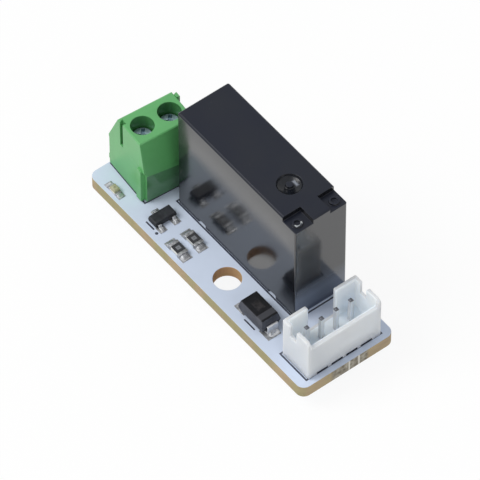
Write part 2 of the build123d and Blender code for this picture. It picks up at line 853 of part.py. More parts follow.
for number, row in enumerate(header_pin_rows, start=1):
    with BuildPart() as pin:
        with BuildSketch(header.offset(-board_thickness - lead_tail)):
            with Locations((header_pin_from_back, row)):
                Rectangle(header_pin_size, header_pin_size)
        extrude(amount=header_pin_height + board_thickness + lead_tail)
        chamfer(pin.faces().sort_by(Axis.Z)[-1].edges(), header_pin_point)
    finish(pin, f"header_pin_{number}")

# Transistor: moulded body with drafted sides, one leg on the terminal side and two on the other
transistor_place = in_strip(transistor_end_share, transistor_strip_share)
transistor = Plane(origin=(*transistor_place, top), z_dir=(0, 0, 1))
parting = transistor_low + transistor_height / 2
with BuildPart() as transistor_case:
    with BuildSketch(transistor.offset(parting)):
        Rectangle(transistor_length, transistor_width)
    extrude(amount=transistor_height / 2, taper=transistor_draft)
    with BuildSketch(transistor.offset(parting)):
        Rectangle(transistor_length, transistor_width)
    extrude(amount=-transistor_height / 2, taper=transistor_draft)
finish(transistor_case, "transistor_body")

leg_rows = [(-1, 0), (1, -transistor_leg_pitch / 2), (1, transistor_leg_pitch / 2)]
with BuildPart() as legs:
    for side, row in leg_rows:
        start = side * transistor_length / 2
        knee = start + side * (transistor_leg_reach - transistor_foot)
        toe = start + side * transistor_leg_reach
        sheet = transistor_leg_sheet
        rise = transistor_leg_rise
        with BuildSketch(upright(transistor, row)):
            with BuildLine():
                Polyline(
                    (start, foil + rise),
                    (knee - side * sheet / 2, foil + rise),
                    (knee + side * sheet / 2, foil + sheet),
                    (toe, foil + sheet),
                    (toe, foil),
                    (knee - side * sheet / 2, foil),
                    (knee - side * sheet * 1.5, foil + rise - sheet),
                    (start, foil + rise - sheet),
                    close=True,
                )
            make_face()
        extrude(amount=transistor_leg_width / 2, both=True)
finish(legs, "transistor_legs")

# Chip resistors: a dark coated block with a metal cap on each end
resistor_places = [in_strip(resistor_end_share, share) for share in resistor_strip_shares]
coat_length = resistor_length - 2 * resistor_skin
coat_width = resistor_width - 2 * resistor_skin
for number, place in enumerate(resistor_places, start=1):
    seat = Plane(origin=(*place, top + foil), z_dir=(0, 0, 1))
    with BuildPart() as chip:
        with BuildSketch(seat.offset(resistor_skin)):
            Rectangle(coat_length, coat_width)
        extrude(amount=resistor_height - 2 * resistor_skin)
        with BuildSketch(seat.offset(resistor_height - resistor_skin)):
            Rectangle(resistor_length - 2 * resistor_cap, coat_width)
        extrude(amount=resistor_skin)
    finish(chip, f"resistor_{number}_body")
    with BuildPart() as caps:
        with BuildSketch(seat):
            with GridLocations(resistor_length - resistor_cap, 0, 2, 1):
                Rectangle(resistor_cap, resistor_width)
        extrude(amount=resistor_height)
        with BuildSketch(seat.offset(resistor_skin)):
            Rectangle(coat_length, coat_width)
        extrude(amount=resistor_height - 2 * resistor_skin, mode=Mode.SUBTRACT)
    finish(caps, f"resistor_{number}_caps")

# Diode: drafted moulding, and two flat leads folded down its ends and under it
diode_place = in_strip(diode_end_share, diode_strip_share)
diode = Plane(origin=(*diode_place, top), z_dir=(0, 0, 1))
lead_outer = diode_length / 2 + diode_lead_gap + diode_lead_sheet
lead_level = diode_parting + diode_lead_sheet / 2
with BuildPart() as diode_case:
    with BuildSketch(diode.offset(diode_parting)):
        Rectangle(diode_length, diode_width)
    extrude(amount=diode_low + diode_height - diode_parting, taper=diode_draft)
    with BuildSketch(diode.offset(diode_parting)):
        Rectangle(diode_length, diode_width)
    extrude(amount=-(diode_parting - diode_low - diode_lead_sheet), taper=diode_draft)
finish(diode_case, "diode_body")

with BuildPart() as diode_leads:
    for side in (-1, 1):
        with BuildSketch(upright(diode, 0)):
            with BuildLine():
                Polyline(
                    (side * diode_length / 2, lead_level),
                    (side * lead_outer, lead_level),
                    (side * lead_outer, foil),
                    (side * (lead_outer - diode_lead_under), foil),
                    (side * (lead_outer - diode_lead_under), foil + diode_lead_sheet),
                    (side * (lead_outer - diode_lead_sheet), foil + diode_lead_sheet),
                    (side * (lead_outer - diode_lead_sheet), lead_level - diode_lead_sheet),
                    (side * diode_length / 2, lead_level - diode_lead_sheet),
                    close=True,
                )
            make_face()
        extrude(amount=diode_lead_width / 2, both=True)
finish(diode_leads, "diode_leads")

# Light-emitting diode: white base with metal ends and a clear lens
led_place = on_board(led_from_end, led_from_side)
led = Plane(origin=(*led_place, top + foil), z_dir=(0, 0, 1))
with BuildPart() as led_base_piece:
    with BuildSketch(led):
        Rectangle(led_length - 2 * led_cap, led_width)
    extrude(amount=led_base)
finish(led_base_piece, "led_base")

with BuildPart() as led_caps:
    with BuildSketch(led):
        with GridLocations(led_length - led_cap, 0, 2, 1):
            Rectangle(led_cap, led_width)
    extrude(amount=led_base)
finish(led_caps, "led_caps")

with BuildPart() as led_lens:
    with BuildSketch(led.offset(led_base)):
        Rectangle(led_lens_length, led_width)
    extrude(amount=led_lens_height)
    chamfer(led_lens.faces().sort_by(Axis.Z)[-1].edges(), led_lens_rim)
finish(led_lens, "led_lens")


def pad_pairs(place, pad_length, span):
    """Two pads in line along X, given their length and their outer span."""
    offset = (span - pad_length) / 2
    return [(place[0] - offset, place[1]), (place[0] + offset, place[1])]


diode_pads_place = in_strip(diode_pads_end_share, diode_pads_strip_share)
transistor_toe = transistor_length / 2 + transistor_leg_reach
transistor_pads = [
    (transistor.origin.X + side * (transistor_toe - transistor_foot / 2), transistor.origin.Y + row)
    for side, row in leg_rows
]

# Tinned pads under the chip parts
with BuildPart() as pads:
    with BuildSketch(Plane.XY.offset(top)):
        with Locations(*transistor_pads):
            Rectangle(transistor_pad_size, transistor_pad_size)
        for place in resistor_places:
            with Locations(*pad_pairs(place, resistor_pad_length, resistor_pad_span)):
                Rectangle(resistor_pad_length, resistor_pad_width)
        with Locations(*pad_pairs(diode_pads_place, diode_pad_length, diode_pad_span)):
            Rectangle(diode_pad_length, diode_pad_width)
        with Locations(*pad_pairs(led_place, led_pad_length, led_pad_span)):
            Rectangle(led_pad_length, led_pad_width)
    extrude(amount=foil)
finish(pads, "chip_pads")


# Solder on the chip parts' pads: hollow slopes from a metal end out towards the pad's edge
slopes = []
for side, row in leg_rows:
    leg_end = transistor_toe - transistor_foot / 2 + transistor_pad_size / 2
    leg_place = (transistor.origin.X, transistor.origin.Y + row)
    slopes.append((
        leg_place, side, transistor_toe, leg_end, transistor_solder_width, transistor_solder_height,
    ))
for side in (-1, 1):
    for place in resistor_places:
        slopes.append((
            place, side, resistor_length / 2, resistor_pad_span / 2, resistor_width, resistor_solder_height,
        ))
    slopes.append((
        diode_place, side, lead_outer, diode_pad_span / 2, diode_lead_width, diode_solder_height,
    ))
    slopes.append((led_place, side, led_length / 2, led_pad_span / 2, led_width, led_base))
with BuildPart() as chip_solder:
    for (x, y), side, start, end, width, height in slopes:
        middle = (side * (start + (end - start) * solder_hollow), height * solder_hollow)
        with BuildSketch(Plane(origin=(x, y, top + foil), x_dir=(1, 0, 0), z_dir=(0, -1, 0))):
            with BuildLine():
                Line((side * start, 0), (side * start, height))
                ThreePointArc((side * start, height), middle, (side * end, 0))
                Line((side * end, 0), (side * start, 0))
            make_face()
        extrude(amount=width / 2, both=True)
finish(chip_solder, "chip_solder")

# Printed outlines: frames round the large parts, short lines and dots beside the small ones
with BuildPart() as legend:
    with BuildSketch(terminal):
        with Locations((terminal_depth / 2, terminal_length / 2)):
            Rectangle(terminal_depth, terminal_length + print_line / 2)
            Rectangle(
                terminal_depth - 2 * print_line,
                terminal_length - print_line * 3 / 2,
                mode=Mode.SUBTRACT,
            )
        for foot_x in (terminal_foot, terminal_depth - terminal_foot):
            for foot_y in (terminal_foot, terminal_length - terminal_foot):
                with Locations((foot_x, foot_y)):
                    Rectangle(terminal_foot, terminal_foot, mode=Mode.SUBTRACT)
    extrude(amount=print_depth)
    frame_start = -print_margin
    frame_end = relay_length + relay_print_gap
    frame_reach = relay_width + relay_print_gap
    with BuildSketch(relay):
        with Locations(((frame_start + frame_end) / 2, -relay_print_gap)):
            Rectangle(frame_end - frame_start + print_line, print_line)
        for end in (frame_start, frame_end):
            with Locations((end, frame_reach / 2 - relay_print_gap)):
                Rectangle(print_line, frame_reach)
    extrude(amount=print_depth)
    frame_margin = print_margin + print_line / 2
    with BuildSketch(header):
        with Locations((header_depth / 2, header_length / 2)):
            Rectangle(header_depth + 2 * frame_margin, header_length + 2 * frame_margin)
            Rectangle(
                header_depth + 2 * frame_margin - 2 * print_line,
                header_length + 2 * frame_margin - 2 * print_line,
                mode=Mode.SUBTRACT,
            )
    extrude(amount=print_depth)
    chip_line_y = transistor_place[1] - transistor_width / 2 - chip_print_gap
    with BuildSketch(Plane.XY.offset(top)):
        with Locations((transistor_place[0] - chip_line_shift, chip_line_y)):
            Rectangle(chip_print_length, print_line)
        with Locations((transistor_place[0] + chip_dot_reach, chip_line_y - chip_dot_drop)):
            Circle(print_line)
        with Locations((diode_place[0], diode_place[1] - diode_width / 2 - diode_print_gap)):
            Rectangle(diode_print_length, print_line)
    extrude(amount=print_depth)
finish(legend, "legend_print")

hinge_place = relay.from_local_coords((hinge_from_end, relay_middle, yoke_top))
closing_turn = math.degrees(math.atan(contact_gap / (hinge_from_end - contact_from_end + contact_radius)))
print("armature hinge:", hinge_place, "closes within degrees:", round(closing_turn, 2))
for y in way_centres:
    print("screw axis:", terminal.from_local_coords((screw_axis_from_back, y, head_seat)))
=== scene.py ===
"""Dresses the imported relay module: softened moulded edges, finishes, solder, and a plain studio.

Laid out as a Blender add-on and run as a script. Sizes are in metres in the part's own frame, whose
origin is the centre of the fixing hole on the board's underside.
"""
import json
import math

import bmesh
import bpy
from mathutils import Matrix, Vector


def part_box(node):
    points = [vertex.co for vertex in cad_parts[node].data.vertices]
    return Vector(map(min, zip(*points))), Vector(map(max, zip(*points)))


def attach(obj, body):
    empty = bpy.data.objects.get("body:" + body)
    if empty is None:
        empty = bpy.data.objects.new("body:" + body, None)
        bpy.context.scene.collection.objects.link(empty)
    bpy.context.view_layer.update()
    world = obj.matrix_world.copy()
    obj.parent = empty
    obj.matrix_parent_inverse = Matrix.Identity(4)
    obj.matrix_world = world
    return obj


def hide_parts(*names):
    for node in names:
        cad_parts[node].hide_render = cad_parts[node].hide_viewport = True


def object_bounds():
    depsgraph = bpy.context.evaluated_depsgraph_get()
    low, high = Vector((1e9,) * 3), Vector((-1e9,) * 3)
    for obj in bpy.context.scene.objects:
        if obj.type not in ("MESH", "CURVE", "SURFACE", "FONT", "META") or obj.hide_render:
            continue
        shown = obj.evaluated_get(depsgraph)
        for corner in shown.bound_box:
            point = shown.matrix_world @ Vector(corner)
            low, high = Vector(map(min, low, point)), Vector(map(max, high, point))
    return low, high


bl_info = {
    "name": "Relay Module Board",
    "version": (1, 0, 0),
    "blender": (4, 5, 0),
    "location": "3D View > Sidebar > Relay Module",
    "description": "Finishes the pieces of a small relay board with a screw terminal and a pin header",
    "category": "Object",
}

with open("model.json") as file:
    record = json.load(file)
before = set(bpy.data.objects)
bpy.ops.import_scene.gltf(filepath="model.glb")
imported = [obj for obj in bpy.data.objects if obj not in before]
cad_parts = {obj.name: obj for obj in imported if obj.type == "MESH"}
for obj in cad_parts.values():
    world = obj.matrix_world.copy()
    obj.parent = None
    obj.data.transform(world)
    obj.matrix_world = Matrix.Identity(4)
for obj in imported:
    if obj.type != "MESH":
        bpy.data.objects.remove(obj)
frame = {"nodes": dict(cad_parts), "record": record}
cad_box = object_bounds()

MM = 0.001
SHARP_ANGLE = math.radians(28)
FLAT_ANGLE = math.radians(0.2)
# The roof mark's place from the case's header end and near side, and its radius, in mm
ROOF_MARK = (5.35, 3.4, 1.35)
HEADER_PINS = [f"header_pin_{way}" for way in range(1, 5)]


def paint(red, green, blue):
    """A colour as it looks on a screen, 0 to 255, as Blender's linear values."""
    shares = [channel / 255 for channel in (red, green, blue)]
    return tuple(s / 12.92 if s <= 0.04045 else ((s + 0.055) / 1.055) ** 2.4 for s in shares)


def colour_property(label, description, *colour):
    """A colour; its default is given as it looks on a screen."""
    return bpy.props.FloatVectorProperty(
        name=label, description=description, default=paint(*colour), subtype="COLOR", size=3,
        min=0, max=1,
    )


def length_property(label, description, value):
    """A length; its default is given in millimetres."""
    return bpy.props.FloatProperty(
        name=label, description=description, default=value * MM, subtype="DISTANCE", unit="LENGTH",
        min=0,
    )


def level_property(label, description, value):
    return bpy.props.FloatProperty(name=label, description=description, default=value, min=0)


class RelayModuleColours(bpy.types.PropertyGroup):
    lacquer: colour_property("Lacquer", "White lacquer on the board's faces", 206, 217, 236)
    laminate: colour_property("Laminate", "Bare board material at edges and holes", 182, 166, 130)
    print_ink: colour_property("Print", "Printed outlines on the board", 38, 44, 66)
    terminal: colour_property("Terminal", "Moulded terminal block", 94, 169, 102)
    relay: colour_property("Relay", "Moulded relay case", 34, 37, 45)
    header: colour_property("Header", "Natural nylon header", 206, 209, 213)
    epoxy: colour_property("Epoxy", "Moulded chip bodies", 38, 39, 44)
    tin: colour_property("Tin", "Solder and tinned leads", 206, 208, 212)
    screw: colour_property("Screw", "Plated terminal screws", 164, 188, 198)
    lens: colour_property("Lens", "Lens of the light-emitting diode", 206, 204, 170)


class RelayModuleSizes(bpy.types.PropertyGroup):
    mould_radius: length_property("Mould radius", "Rounding of the moulded edges", 0.09)
    case_radius: length_property("Case radius", "Rounding of the relay case's edges", 0.06)
    header_radius: length_property("Header radius", "Rounding of the nylon edges", 0.14)
    header_corner: length_property("Header corner", "Rounding of the header's outer corners", 0.5)
    board_radius: length_property("Board radius", "Rounding of the routed board edge", 0.05)
    chip_radius: length_property("Chip radius", "Rounding of the small chip parts", 0.035)
    thread_pitch: length_property("Thread pitch", "Rise of a terminal screw in one turn", 0.4)
    wire_diameter: length_property("Wire", "Diameter of the coil's copper wire", 0.1)
    solder_spread: length_property("Solder spread", "How far a fillet runs past its metal end", 0.42)


class RelayModuleStage(bpy.types.PropertyGroup):
    floor_colour: colour_property("Floor", "Plain pale floor", 246, 246, 245)
    sky_level: level_property("Sky", "Even light from all round", 0.56)
    key_level: level_property("Key", "Light of the large lamp over the near long side", 0.6)
    fill_level: level_property("Fill", "Light of the lamp over the header's end", 0.13)


# Node helpers and reusable shader groups


def add_node(tree, kind, inputs=None, **settings):
    """A node with its settings and inputs; an input is a value, or the socket that feeds it."""
    node = tree.nodes.new(kind)
    for key, value in settings.items():
        setattr(node, key, value)
    for key, value in (inputs or {}).items():
        if isinstance(value, bpy.types.NodeSocket):
            tree.links.new(value, node.inputs[key])
        else:
            node.inputs[key].default_value = value
    return node


def output(tree, kind, inputs=None, **settings):
    """The first output of a new node."""
    return add_node(tree, kind, inputs, **settings).outputs[0]


def calculate(tree, operation, *values):
    return output(tree, "ShaderNodeMath", dict(enumerate(values)), operation=operation)


def vector_math(tree, operation, *values):
    inputs = dict(enumerate(values))
    return add_node(tree, "ShaderNodeVectorMath", inputs, operation=operation).outputs


def separate(tree, vector):
    return add_node(tree, "ShaderNodeSeparateXYZ", {0: vector}).outputs


def ranged(tree, value, low, high, from_low=0.0, from_high=1.0):
    """A value brought from one range, 0 to 1 if none is given, to another, and held in it."""
    return output(
        tree, "ShaderNodeMapRange",
        {"Value": value, "From Min": from_low, "From Max": from_high, "To Min": low, "To Max": high},
    )


def add_inputs(tree, inputs):
    """Named inputs for a node group, each (name, kind of socket, default or None)."""
    for label, kind, default in inputs:
        socket = tree.interface.new_socket(label, in_out="INPUT", socket_type=f"NodeSocket{kind}")
        if default is not None:
            socket.default_value = default


def shader_group(name, inputs, outputs):
    """An empty shader group with its start's and end's sockets; the outputs are plain numbers."""
    group = bpy.data.node_groups.new(name, "ShaderNodeTree")
    add_inputs(group, inputs)
    for label in outputs:
        group.interface.new_socket(label, in_out="OUTPUT", socket_type="NodeSocketFloat")
    start = group.nodes.new("NodeGroupInput")
    end = group.nodes.new("NodeGroupOutput")
    return group, start.outputs, end.inputs


def grain_group():
    """Fine moulding grain for bump and roughness, and slow clouds for colour."""
    group, start, end = shader_group(
        "surface grain",
        [("Place", "Vector", None), ("Grain per mm", "Float", 12.0), ("Clouds per mm", "Float", 0.5)],
        ["Grain", "Clouds"],
    )
    grain = output(
        group, "ShaderNodeTexNoise",
        {"Vector": start["Place"], "Scale": start["Grain per mm"], "Detail": 3.0, "Roughness": 0.6},
    )
    clouds = output(
        group, "ShaderNodeTexNoise",
        {"Vector": start["Place"], "Scale": start["Clouds per mm"], "Detail": 2.0},
    )
    group.links.new(grain, end["Grain"])
    group.links.new(ranged(group, clouds, 0.0, 1.0, 0.3, 0.7), end["Clouds"])
    return group


def speck_group():
    """Scattered specks, such as dust: one in some of the cells, its size varying."""
    group, start, end = shader_group(
        "specks",
        [("Place", "Vector", None), ("Cells per mm", "Float", 1.0), ("Radius", "Float", 0.1),
         ("Share", "Float", 0.2)],
        ["Specks"],
    )
    cells = add_node(
        group, "ShaderNodeTexVoronoi", {"Vector": start["Place"], "Scale": start["Cells per mm"]}
    )
    pick = add_node(group, "ShaderNodeSeparateColor", {"Color": cells.outputs["Color"]})
    chosen = calculate(group, "LESS_THAN", pick.outputs["Red"], start["Share"])
    size = calculate(group, "MULTIPLY", pick.outputs["Green"], start["Radius"])
    core = calculate(group, "MULTIPLY", size, 0.4)
    inside = ranged(group, cells.outputs["Distance"], 0.0, 1.0, size, core)
    group.links.new(calculate(group, "MULTIPLY", inside, chosen), end["Specks"])
    return group


def patch_group():
    """1 inside a box with soft edges, 0 outside; the place and the sizes are in millimetres."""
    group, start, end = shader_group(
        "patch",
        [("Place", "Vector", None), ("Centre", "Vector", (0, 0, 0)),
         ("Half size", "Vector", (1, 1, 1)), ("Softness", "Float", 0.05)],
        ["Inside"],
    )
    offset = vector_math(group, "SUBTRACT", start["Place"], start["Centre"])[0]
    distance = vector_math(group, "ABSOLUTE", offset)[0]
    depth = vector_math(group, "SUBTRACT", start["Half size"], distance)[0]
    x, y, z = separate(group, depth)
    least = calculate(group, "MINIMUM", calculate(group, "MINIMUM", x, y), z)
    group.links.new(ranged(group, least, 0.0, 1.0, 0.0, start["Softness"]), end["Inside"])
    return group


def facing_group():
    """Which way a face looks: level (up or down), up, or ahead towards the header's end."""
    group, start, end = shader_group(
        "level faces", [("Normal", "Vector", None)], ["Level", "Up", "Ahead"]
    )
    x, _, z = separate(group, start["Normal"])
    for label, share, low, high in (
        ("Level", calculate(group, "ABSOLUTE", z), 0.45, 0.75), ("Up", z, 0.45, 0.75),
        ("Ahead", x, 0.7, 0.9),
    ):
        group.links.new(ranged(group, share, 0.0, 1.0, low, high), end[label])
    return group


groups = {
    "grain": grain_group(),
    "specks": speck_group(),
    "patch": patch_group(),
    "facing": facing_group(),
}


class Finish:
    """A material with one Principled shader, and short ways to feed it. Places are in millimetres."""

    def __init__(self, name, **constants):
        material = bpy.data.materials.new(f"{name}_finish")
        material.use_nodes = True
        self.tree = material.node_tree
        self.shader = self.tree.nodes["Principled BSDF"]
        for label, value in constants.items():
            self.shader.inputs[label.replace("_", " ")].default_value = value
        self.coordinates = add_node(self.tree, "ShaderNodeTexCoord")
        self.place = self.scaled(self.coordinates.outputs["Object"], (1 / MM,) * 3)

    def scaled(self, place, scale):
        return output(self.tree, "ShaderNodeMapping", {"Vector": place, "Scale": scale})

    def group(self, name, **inputs):
        """The outputs of a reusable group that is fed with the inputs."""
        labelled = {label.replace("_", " "): value for label, value in inputs.items()}
        return add_node(self.tree, "ShaderNodeGroup", labelled, node_tree=groups[name]).outputs

    def grain(self, per_mm, clouds_per_mm, stretch=None):
        """Grain and clouds; a stretch scales each direction, for rolled or drawn marks."""
        place = self.scaled(self.place, stretch) if stretch else self.place
        return self.group("grain", Place=place, Grain_per_mm=per_mm, Clouds_per_mm=clouds_per_mm)

    def patch(self, centre, half_size, softness=0.05):
        """1 in a box round the centre, 0 outside it, with edges as wide as the softness."""
        return self.group(
            "patch", Place=self.place, Centre=tuple(centre), Half_size=half_size, Softness=softness
        )[0]

    def dust(self, cells_per_mm, radius, share):
        """Specks in a share of the cells."""
        return self.group(
            "specks", Place=self.place, Cells_per_mm=cells_per_mm, Radius=radius, Share=share
        )[0]

    def facing(self, way):
        return self.group("facing", Normal=self.coordinates.outputs["Normal"])[way]

    def mix(self, share, first, second, strength=1.0):
        """A colour between two, each a linear triple or a socket; the strength limits the share."""
        if strength < 1.0:
            share = self.spread(share, 0.0, strength)
        first, second = [
            colour if isinstance(colour, bpy.types.NodeSocket) else (*colour, 1)
            for colour in (first, second)
        ]
        inputs = {0: share, 6: first, 7: second}
        return add_node(self.tree, "ShaderNodeMix", inputs, data_type="RGBA").outputs[2]

    def stained(self, colour, *stains):
        """A colour under stains, each with its share, its colour and, if not 1, its strength."""
        for stain in stains:
            share, other, *strength = stain
            colour = self.mix(share, colour, other, *strength)
        return colour

    def spread(self, value, low, high, from_low=0.0, from_high=1.0):
        return ranged(self.tree, value, low, high, from_low, from_high)

    def reckon(self, operation, *values):
        return calculate(self.tree, operation, *values)

    def surface(self, colour, roughness, bump, **more):
        """Feeds the shader.

        Roughness is a value and the range that it is spread over; bump is a height, the distance
        in millimetres that it spans, and the strength.
        """
        height, distance, strength = bump
        inputs = {"Height": height, "Strength": strength, "Distance": distance * MM}
        normal = output(self.tree, "ShaderNodeBump", inputs)
        sockets = {"Base_Color": colour, "Roughness": self.spread(*roughness), "Normal": normal}
        for label, socket in {**sockets, **more}.items():
            self.tree.links.new(socket, self.shader.inputs[label.replace("_", " ")])


def darker(colour, share):
    return tuple(channel * share for channel in colour[:3])


def towards(colour, other, share):
    return tuple(a + (b - a) * share for a, b in zip(colour[:3], other[:3], strict=True))


def box_mm(node):
    """The low and high corners of a CAD node's box and its centre, in millimetres."""
    low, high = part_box(node)
    return low / MM, high / MM, (low + high) / 2 / MM


# Finishes, one for each of the record's slots

special_finishes = {}


def special(**constants):
    """Keeps the function under it as the maker of the finish of its name, with these constants."""

    def keep(make):
        special_finishes[make.__name__] = make, constants
        return make

    return keep


def plain_finish(
    name, first, second, per_mm, roughness, bump, stretch=None, cloudy=False, **constants
):
    """One material whose clouds mix two colours.

    It is given the grain and clouds per mm, the roughness range, which the grain spreads, or the
    clouds if it is cloudy, and the bump's distance in mm and strength.
    """
    finish = Finish(name, **constants)
    fine, clouds = finish.grain(*per_mm, stretch)
    spreader = clouds if cloudy else fine
    finish.surface(finish.mix(clouds, first, second), (spreader, *roughness), (fine, *bump))


def plain_finishes(colours):
    """What plain_finish takes for each plain finish, in its order, and the rest by name."""
    metal, soldered = {"Metallic": 1.0}, {"Metallic": 0.75, "cloudy": True}
    tin, ink, screw, relay = colours.tin, colours.print_ink, colours.screw, colours.relay
    return {
        "tinned_pad": (
            darker(tin, 0.78), darker(tin, 0.34), (4.0, 3.2), (0.42, 0.6), (0.02, 0.6), soldered,
        ),
        "solder": (tin, darker(tin, 0.62), (3.0, 1.6), (0.1, 0.45), (0.02, 0.4), soldered),
        "dark_print": (
            ink, towards(ink, (1, 1, 1), 0.06), (9.0, 3.0), (0.45, 0.65), (0.005, 0.5),
            {"Specular_IOR_Level": 0.35},
        ),
        "screw_steel": (
            screw, darker(screw, 0.75), (8.0, 1.4), (0.34, 0.52), (0.01, 0.5),
            {"cloudy": True, **metal},
        ),
        "cage_steel": (
            paint(186, 188, 190), paint(150, 152, 156), (9.0, 0.9), (0.25, 0.45), (0.008, 0.6),
            {"stretch": (1, 1, 0.15), **metal},
        ),
        "tinned_brass": (
            darker(tin, 0.95), paint(196, 184, 150), (9.0, 1.1), (0.2, 0.4), (0.006, 0.6),
            {"stretch": (1, 1, 0.12), **metal},
        ),
        "black_plug": (relay, darker(relay, 0.7), (8.0, 0.5), (0.45, 0.6), (0.01, 0.5), {}),
        "bobbin_plastic": (
            paint(226, 222, 208), paint(206, 200, 182), (7.0, 0.6), (0.4, 0.55), (0.008, 0.5), {},
        ),
        "coil_iron": (
            paint(164, 166, 168), paint(128, 128, 130), (8.0, 0.7), (0.3, 0.5), (0.008, 0.5),
            {"stretch": (0.2, 1, 1), **metal},
        ),
        "spring_bronze": (
            paint(206, 158, 98), paint(180, 130, 78), (9.0, 0.8), (0.22, 0.38), (0.005, 0.5),
            {"stretch": (0.15, 1, 1), **metal},
        ),
        "contact_silver": (
            paint(228, 226, 220), paint(190, 186, 176), (7.0, 1.8), (0.2, 0.4), (0.006, 0.5), metal,
        ),
        # Painted shade: a dark finish for the gaps under the header's front, for the shade in them
        "nylon_gap": (
            paint(22, 22, 24), paint(40, 40, 42), (6.0, 1.2), (0.6, 0.8), (0.01, 0.5),
            {"Specular_IOR_Level": 0.2},
        ),
        "led_white": (
            paint(226, 222, 204), paint(208, 202, 180), (8.0, 2.0), (0.4, 0.6), (0.006, 0.5), {},
        ),
    }


@special(Specular_IOR_Level=0.2)
def board_lacquer(finish, colours):
    """White lacquer on the level faces, and mottled laminate at the edges and in the hole."""
    lacquer = finish.mix(finish.grain(6.0, 0.35)[1], colours.lacquer, darker(colours.lacquer, 0.965))
    streaks = finish.grain(5.0, 0.8, (0.55, 0.55, 2.2))[1]
    fine, clouds = finish.grain(9.0, 0.27)
    ragged, torn = finish.grain(7.0, 2.2)
    end_x, half_board = box_mm("circuit_board")[1].x, 0.8
    drilled = finish.patch((0, 0, half_board), (2.2, 2.2, 1.2))
    # The header's end carries the rough stub of the tab that held the board in its panel
    stub_y, stub_half, rib_half = 3.45, (0.6, 2.7, 1.2), (0.6, 0.13, half_board)
    stub = finish.patch((end_x, stub_y, half_board), stub_half, 0.5)
    ribs = [finish.patch((end_x, rib_y, half_board), rib_half) for rib_y in (3.36, 4.68)]
    edge = finish.stained(
        colours.laminate, (streaks, paint(166, 148, 122)), (fine, paint(194, 164, 140), 0.35),
        (finish.spread(clouds, 0.0, 0.65, 0.3, 0.7), paint(156, 155, 114)),
        (fine, paint(120, 104, 70), 0.25),
        (drilled, paint(204, 152, 104), 0.5),
        (stub, finish.mix(torn, paint(172, 166, 152), paint(108, 100, 86))),
        *[(rib, paint(216, 212, 202)) for rib in ribs],
    )
    level = finish.facing("Level")
    rough = finish.reckon("MULTIPLY", ragged, finish.spread(level, 1.0, 0.12))
    finish.surface(finish.mix(level, edge, lacquer), (level, 0.75, 0.5), (rough, 0.03, 0.6))


@special(Specular_IOR_Level=0.5)
def green_plastic(finish, colours):
    """Satin green; low on the face towards the relay it has a polish and a painted shadow, tinted grey
    as a painted reflection of the board.
    """
    low, high, _ = box_mm("terminal_housing")
    fine, clouds = finish.grain(7.0, 0.4)
    body = finish.mix(clouds, colours.terminal, darker(colours.terminal, 0.93))
    x, y, z = separate(finish.tree, finish.place)
    # The polish and the painted shadow end at a line that slopes along the face
    slope, shade_and_polish_height, fade, skin = 0.16, 4.5, 0.06, 0.8
    line = finish.reckon("ADD", z, finish.reckon("MULTIPLY", y, slope))
    border = low.z + shade_and_polish_height + slope * low.y
    below = finish.spread(line, 0.0, 1.0, border + fade, border - fade)
    behind = finish.spread(x, 0.0, 1.0, high.x - skin - 0.05, high.x - skin)
    shade_and_polish = finish.reckon("MULTIPLY", below, behind)
    shade_and_polish = finish.reckon("MULTIPLY", shade_and_polish, finish.facing("Ahead"))
    # The wells over the screws take a polish from their core pins, and painted shade darkens them
    well_margin, well_depth, well_half = 0.35, 2.08, 2.0
    wells = 0.0
    for screw in ("terminal_screw_1", "terminal_screw_2"):
        low_screw, high_screw, centre = box_mm(screw)
        reach = (high_screw.x - low_screw.x) / 2 + well_margin
        middle = (centre.x, centre.y, high.z - well_depth)
        well = finish.patch(middle, (reach, reach, well_half), 0.04)
        wells = finish.reckon("MAXIMUM", wells, well)
    # Painted shadow, tinted grey as a painted reflection of the board, low on the face; painted shade
    # in the wells
    painted_shadow = towards(darker(colours.terminal, 0.58), paint(104, 112, 124), 0.2)
    body = finish.stained(body, (shade_and_polish, painted_shadow), (wells, darker(colours.terminal, 0.55)))
    gloss = finish.reckon("MAXIMUM", shade_and_polish, wells)
    finish.surface(body, (gloss, 0.34, 0.12), (fine, 0.006, 0.5))


@special(IOR=1.76)
def black_case(finish, colours):
    """The case's glossy walls, with faint painted reflections: of the board low on every wall and low
    on the header's side, and a lighter grey high on the near one.
    """
    low, high, centre = box_mm("relay_case")
    everywhere, wall_skin = 60, 0.1
    fine, clouds = finish.grain(3.0, 0.25)
    body = finish.mix(clouds, darker(colours.relay, 0.25), darker(colours.relay, 0.4))
    # Painted reflections: a lighter slate low on every wall, and a lighter grey high on the near wall
    foot_height, reflection_depth, reflection_half, low_reflection_height = 0.3, 3.1, (10.6, 3.0, 2.3), 4.8
    foot = finish.patch((0, 0, low.z), (everywhere, everywhere, foot_height), 0.15)
    upper = finish.patch((centre.x, low.y, high.z - reflection_depth), reflection_half, 2.0)
    near_wall = finish.patch((0, low.y, 0), (everywhere, wall_skin, everywhere))
    # Painted reflection of the board, slate-blue low on the wall towards the header
    end_wall = finish.patch((high.x, centre.y, low.z), (wall_skin, 3.45, 4.6))
    lower = finish.patch((0, 0, low.z), (everywhere, everywhere, low_reflection_height), 2.4)
    body = finish.stained(
        body, (foot, paint(84, 88, 97)),
        (finish.reckon("MULTIPLY", upper, near_wall), paint(58, 58, 59)),
        (finish.reckon("MULTIPLY", end_wall, lower), paint(78, 87, 104)),
        (finish.dust(0.9, 0.11, 0.1), paint(150, 150, 152), 0.2),
    )
    finish.surface(body, (clouds, 0.11, 0.16), (fine, 0.002, 0.25))


